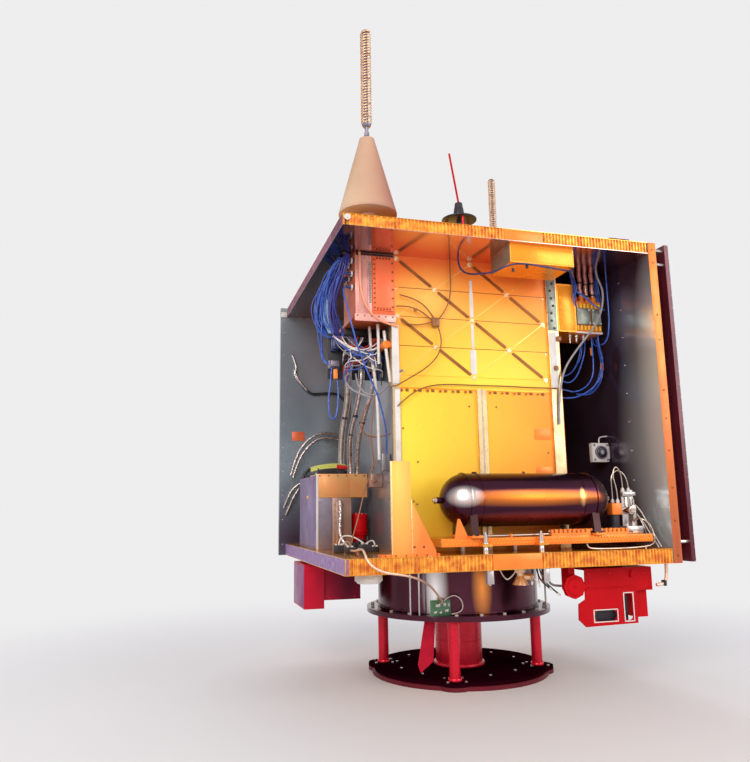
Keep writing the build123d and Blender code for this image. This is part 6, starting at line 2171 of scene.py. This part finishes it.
@dataclass
class StandAndRing(Assembly):
    """Separation ring, flange bolts, posts, column and base."""

    bolt_r: float = 5.4
    flange_t: float = 15.0
    flange_circle: float = 283.0
    flange_bolts: int = 24
    lip_circle: float = 269.0
    lip_bolts: int = 36
    post_circle: float = 250.0
    base_circle: float = 205.0
    base_screws: int = 12

    def build(self) -> None:
        """Dress the stand and the ring."""
        self.ring = limits("separation_ring")
        self.flange_head = self.ring.foot + self.flange_t
        self.make_bolts()
        self.make_ring_bands()
        self.make_posts()
        self.make_column()
        self.make_base()

    def make_bolts(self) -> None:
        """Make the bolts on the flange and below the deck."""
        self.solid(
            "ring_bolts", "white_part",
            Form().screws(
                [(x, y, self.flange_head)
                 for x, y in circle(0, 0, self.flange_circle, self.flange_bolts, math.radians(7.5))],
                self.bolt_r, 5.0, UP)
            .screws(
                [(x, y, -12.0) for x, y in circle(0, 0, self.lip_circle, self.lip_bolts, math.radians(2.0))], 3.2, 3.4,
                DOWN, 8),
            "silver")

    def make_ring_bands(self) -> None:
        """Make the two turned bands on the ring's wall."""
        bands = Form()
        for low, high, radius in ((-22.0, -16.0, 263.4), (self.flange_head, self.flange_head + 7.0, 264.0)):
            bands.bar((0, 0, low), (0, 0, high), radius, sides=160, bevel=0.8)
            self.bore(bands, radius - 4.0, low, high)
        self.solid("ring_bands", "ring_polish", bands)

    def bore(self, form: Form, radius: float, low: float, high: float) -> None:
        """Open the last disc of a form into a ring by insetting and bridging its two caps.

        Args:
            form: The shape that holds the disc.
            radius: Radius of the bore in millimetres.
            low: Height of the lower cap.
            high: Height of the upper cap.
        """
        mesh = form.mesh
        caps = []
        for level in (at(0, 0, low).z, at(0, 0, high).z):
            discs = [face for face in mesh.faces if len(face.verts) > 100]
            caps += [disc for disc in discs if abs(disc.calc_center_median().z - level) < LEVEL_SLACK]
        outer = max(v.co.xy.length for v in caps[0].verts)
        bmesh.ops.inset_individual(mesh, faces=caps, thickness=outer - radius * MM)
        edges = [edge for cap in caps for edge in cap.edges]
        bmesh.ops.delete(mesh, geom=caps, context="FACES_ONLY")
        bmesh.ops.bridge_loops(mesh, edges=edges)

    def make_posts(self) -> None:
        """Make the collars and screws at both ends of the four red posts."""
        plate = limits("stand_plate").head
        collars = Form()
        screws = Form()
        for x, y in circle(0, 0, self.post_circle, 4, math.radians(65.0)):
            collars.bar((x, y, plate), (x, y, plate + 9), 22.0, 20.0, 36, 1.4)
            collars.bar((x, y, self.ring.foot - 8), (x, y, self.ring.foot), 20.0, 22.0, 36, 1.4)
            screws.screws([(px, py, plate) for px, py in circle(x, y, 38, 4, 0.6)], 4.4, 4.0, UP)
        self.solid("post_collars", "red_anodised", collars, "red_anodised")
        self.solid("post_screws", "pale_metal", screws)

    def make_column(self) -> None:
        """Make the red column's foot ring and its seam ring."""
        column = limits("stand_column")
        plate = limits("stand_plate").head
        self.solid(
            "column_rings", "red_anodised",
            Form().bar((0, 0, plate), (0, 0, plate + 10), 84.0, 82.0, 96, 1.6)
            .bar((0, 0, column.head - 34), (0, 0, column.head - 24), 79.0, 79.0, 96, 1.6),
            "red_anodised")

    def make_base(self) -> None:
        """Make the screws that join the base's two plates."""
        plate = limits("stand_plate").head
        self.solid(
            "base_screws", "pale_metal",
            Form().screws(
                [(x, y, plate) for x, y in circle(0, 0, self.base_circle, self.base_screws, math.radians(5.0))], 4.4,
                3.4, UP))


# On the roof


@dataclass
class Antennas(Assembly):
    """The two cone antennas with their helices, the disc antenna and the roof plate."""

    places: tuple[tuple[float, float], ...] = ((-405.0, -415.0), (395.0, 415.0))
    turns: int = 17
    points_per_turn: int = 12
    helix_r: float = 15.4
    end_share: float = 0.72
    wire_r: float = 1.9

    def build(self) -> None:
        """Dress the antennas."""
        self.make_helices()
        self.make_collars()
        self.make_disc()
        self.make_roof_plate()

    def make_helices(self) -> None:
        """Wind the two wires of each helix round its core rod."""
        helix = limits("helix_antennas")
        foot, head = helix.foot + 48.0, helix.head - 4.0
        wires = []
        count = self.turns * self.points_per_turn
        for x, y in self.places:
            for start in (0.0, math.pi):
                route = []
                for i in range(count + 1):
                    turn = 2 * math.pi * i / self.points_per_turn
                    slim = self.helix_r * (self.end_share if i in (0, count) else 1.0)
                    h = foot + (head - foot) * i / count
                    route.append((x + slim * math.cos(turn + start), y + slim * math.sin(turn + start), h))
                wires.append(route)
        self.leads("helix_wires", wires, self.wire_r, "gold_wire", "gold_wire", ("helix_antennas",), 2)
        rods = Form()
        for x, y in self.places:
            rods.bar((x, y, helix.foot), (x, y, helix.head), 5.4, sides=20, bevel=0.8)
            rods.bar((x, y, foot - 8), (x, y, foot), 11.0, 15.0, 24, 0.8)
            rods.bar((x, y, head), (x, y, head + 4), 13.0, 9.0, 24, 0.8)
            for h in spaced(foot + 30, head - 30, 7):
                rods.bar((x - 14, y, h), (x + 14, y, h), 1.6, sides=10)
                rods.bar((x, y - 14, h + 9), (x, y + 14, h + 9), 1.6, sides=10)
        self.solid("helix_rods", "grey_box", rods, "gold_wire")

    def make_collars(self) -> None:
        """Make the collars and base rings of the cones."""
        roof = limits("top_panel").head
        cone = limits("antenna_cones")
        collars = Form()
        metal = Form()
        for x, y in self.places:
            collars.bar((x, y, roof + 34), (x, y, roof + 38), 85.0, 84.6, 96, 0.8)
            metal.bar((x, y, cone.head - 1), (x, y, cone.head + 12), 12.0, 9.0, 28, 1.0)
            metal.bar((x, y, cone.head + 12), (x, y, cone.head + 22), 8.0, sides=6)
            metal.screws([(px, py, roof) for px, py in circle(x, y, 24, 8, 0.3)], 3.2, 3.0, UP)
        self.solid("cone_base_rings", "cream_radome", collars)
        self.solid("cone_collars", "grey_box", metal)

    def make_disc(self) -> None:
        """Make the disc antenna's plate, stem and stepped knob."""
        disc = limits("disc_antenna")
        x, y, _ = disc.middle
        foot = disc.foot
        self.solid(
            "disc_and_knob", "black_part",
            Form().bar((x, y, foot), (x, y, foot + 38), 7, sides=24)
            .bar((x, y, foot + 38), (x, y, foot + 42), 52, sides=72, bevel=0.8)
            .bar((x, y, foot + 42), (x, y, foot + 52), 20, 18, 36, 1.0)
            .bar((x, y, foot + 52), (x, y, foot + 78), 17, 14, 36, 1.0)
            .bar((x, y, foot + 78), (x, y, foot + 94), 13, 11, 36, 1.4),
            replaces=("disc_antenna",))
        legs = Form()
        for px, py in circle(x, y, 40, 3, 0.4):
            legs.bar((px, py, foot), (px, py, foot + 38), 3.0, sides=14)
            legs.screws([(px, py, foot + 42)], 3.6, 2.6, UP)
        self.solid("disc_legs", "red_anodised", legs)

    def make_roof_plate(self) -> None:
        """Make the plate on the roof with its screws."""
        plate = limits("top_plate")
        # painted light: the black roof plate takes the maroon tone of red light
        self.solid(
            "roof_plate", "maroon_paint",
            Form().box(plate.x, plate.y, plate.h, 1.6)
            .screws(
                [(x, y, plate.head - 0.2) for x in (plate.left + 8, plate.right - 8)
                 for y in (plate.front + 8, plate.back - 8)],
                3.0, 0.2, UP),
            replaces=("top_plate",))


@dataclass
class WallSensor(Assembly):
    """The square sensor on the right wall: pale frame, dark lens with its rim, screws and lead."""

    side: float = 62.0
    lens_r: float = 18.0
    screw_reach: float = 24.0

    def build(self) -> None:
        """Make the sensor."""
        edge = limits("sensor_frame")
        wall = limits("right_panel").left
        left, right = edge.left, edge.left + self.side
        front = edge.front + 10
        self.solid(
            "sensor_body", "white_part",
            Form().box((left, right), (front, front + 20), edge.h, 2.0)
            .box((right, wall), (front + 4, front + 16), (edge.foot + 12, edge.foot + 52), 1.0),
            replaces=("sensor_frame",))
        x = (left + right) / 2
        h = edge.foot + 32
        corners = (-self.screw_reach, self.screw_reach)
        self.solid(
            "sensor_rim", "grey_box",
            Form().bar((x, front, h), (x, front - 6, h), self.lens_r + 4, sides=40, bevel=1.0)
            .screws([(x + dx, front, h + dh) for dx in corners for dh in corners], 3.4, 2.4))
        self.solid(
            "sensor_lens", "lens_glass",
            Form().bar((x, front - 6, h), (x, front - 9.5, h), self.lens_r, self.lens_r - 3, 40, 0.6))
        self.solid("sensor_iris", "pale_metal", Form().bar((x, front - 9.5, h), (x, front - 10, h), 7.0, sides=28))
        lead = [
            [(x, front + 8, edge.head), (x, front + 8, edge.head + 14), (x + 10, front + 12, edge.head + 22),
             (wall, front + 14, edge.head + 24)]]
        self.leads("sensor_lead", lead, 2.2, "white_jacket", rounds=2)


# The free test lead


@dataclass
class TestLead(Assembly):
    """The test lead from a deck plug over the front edge to its small board on the flange."""

    diameter: float = 6.0
    route: tuple[Point, ...] = (
        (-432, -285, 51), (-432, -330, 51), (-433, -385, 58), (-440, -445, 62), (-452, -506, 60), (-446, -528, 30),
        (-410, -530, 8), (-356, -524, 0), (-308, -486, -12), (-268, -436, -28), (-226, -376, -48), (-190, -330, -78),
        (-152, -280, -108), (-152, -244, -108))
    loop_route: tuple[Point, ...] = (
        (-140, -246, -103), (-122, -256, -86), (-98, -264, -92), (-88, -268, -116), (-96, -264, -138),
        (-118, -247, -142))
    length: float = 0.724

    def build(self) -> None:
        lead = self.leads(
            "test_lead_cable", [self.route], self.diameter / 2, "lead_foil", "black_lead", ("test_lead",), 4)
        board = self.make_board()
        parts = self.make_board_parts()
        loop = self.leads("board_loop", [self.loop_route], 1.6, "white_jacket", rounds=2)

    def make_board(self) -> bpy.types.Object:
        """Make the small circuit board.

        Returns:
            The board.
        """
        board = limits("lead_board")
        plate = Form()
        plate.box(board.x, (board.front + 2, board.front + 4), board.h, 0.5)
        return self.solid("small_board", "green_board", plate, replaces=("lead_board",))

    def make_board_parts(self) -> bpy.types.Object:
        """Make the parts on the small board.

        Returns:
            The parts as one piece.
        """
        board = limits("lead_board")
        parts = Form()
        face = board.front + 2
        for x, h, w, tall in (
            (10, 12, 9, 6), (28, 10, 7, 7), (44, 14, 12, 8), (16, 30, 14, 8), (40, 32, 9, 9), (54, 30, 6, 10)):
            parts.box(
                (board.left + x, board.left + x + w), (board.front, face),
                (board.foot + h - 4, board.foot + h - 4 + tall), 0.5)
        return self.solid("board_parts", "pale_metal", parts)


def main() -> None:
    """Dress the satellite and light it."""
    logging.basicConfig(level=logging.INFO, format="%(name)s %(message)s")
    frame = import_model()
    effects = Effects()
    materials = {finish.name: finish.build(effects) for finish in FINISHES}
    for finish, nodes in NODE_FINISHES.items():
        for node in nodes.split():
            slots = frame["nodes"][node].data.materials
            slots.clear()
            slots.append(materials[finish])
    assemblies = (
        BodyPanels, ModuleTower, RadioStack, LeftHarness, CornerBoxes, RightHarness, PropulsionBay, WallSensor, Covers,
        StandAndRing, Antennas, TestLead)
    for assembly in assemblies:
        assembly(materials).build()
        LOG.info("dressed %s", assembly.__name__)
    Studio().build()


if __name__ == "__main__":
    main()
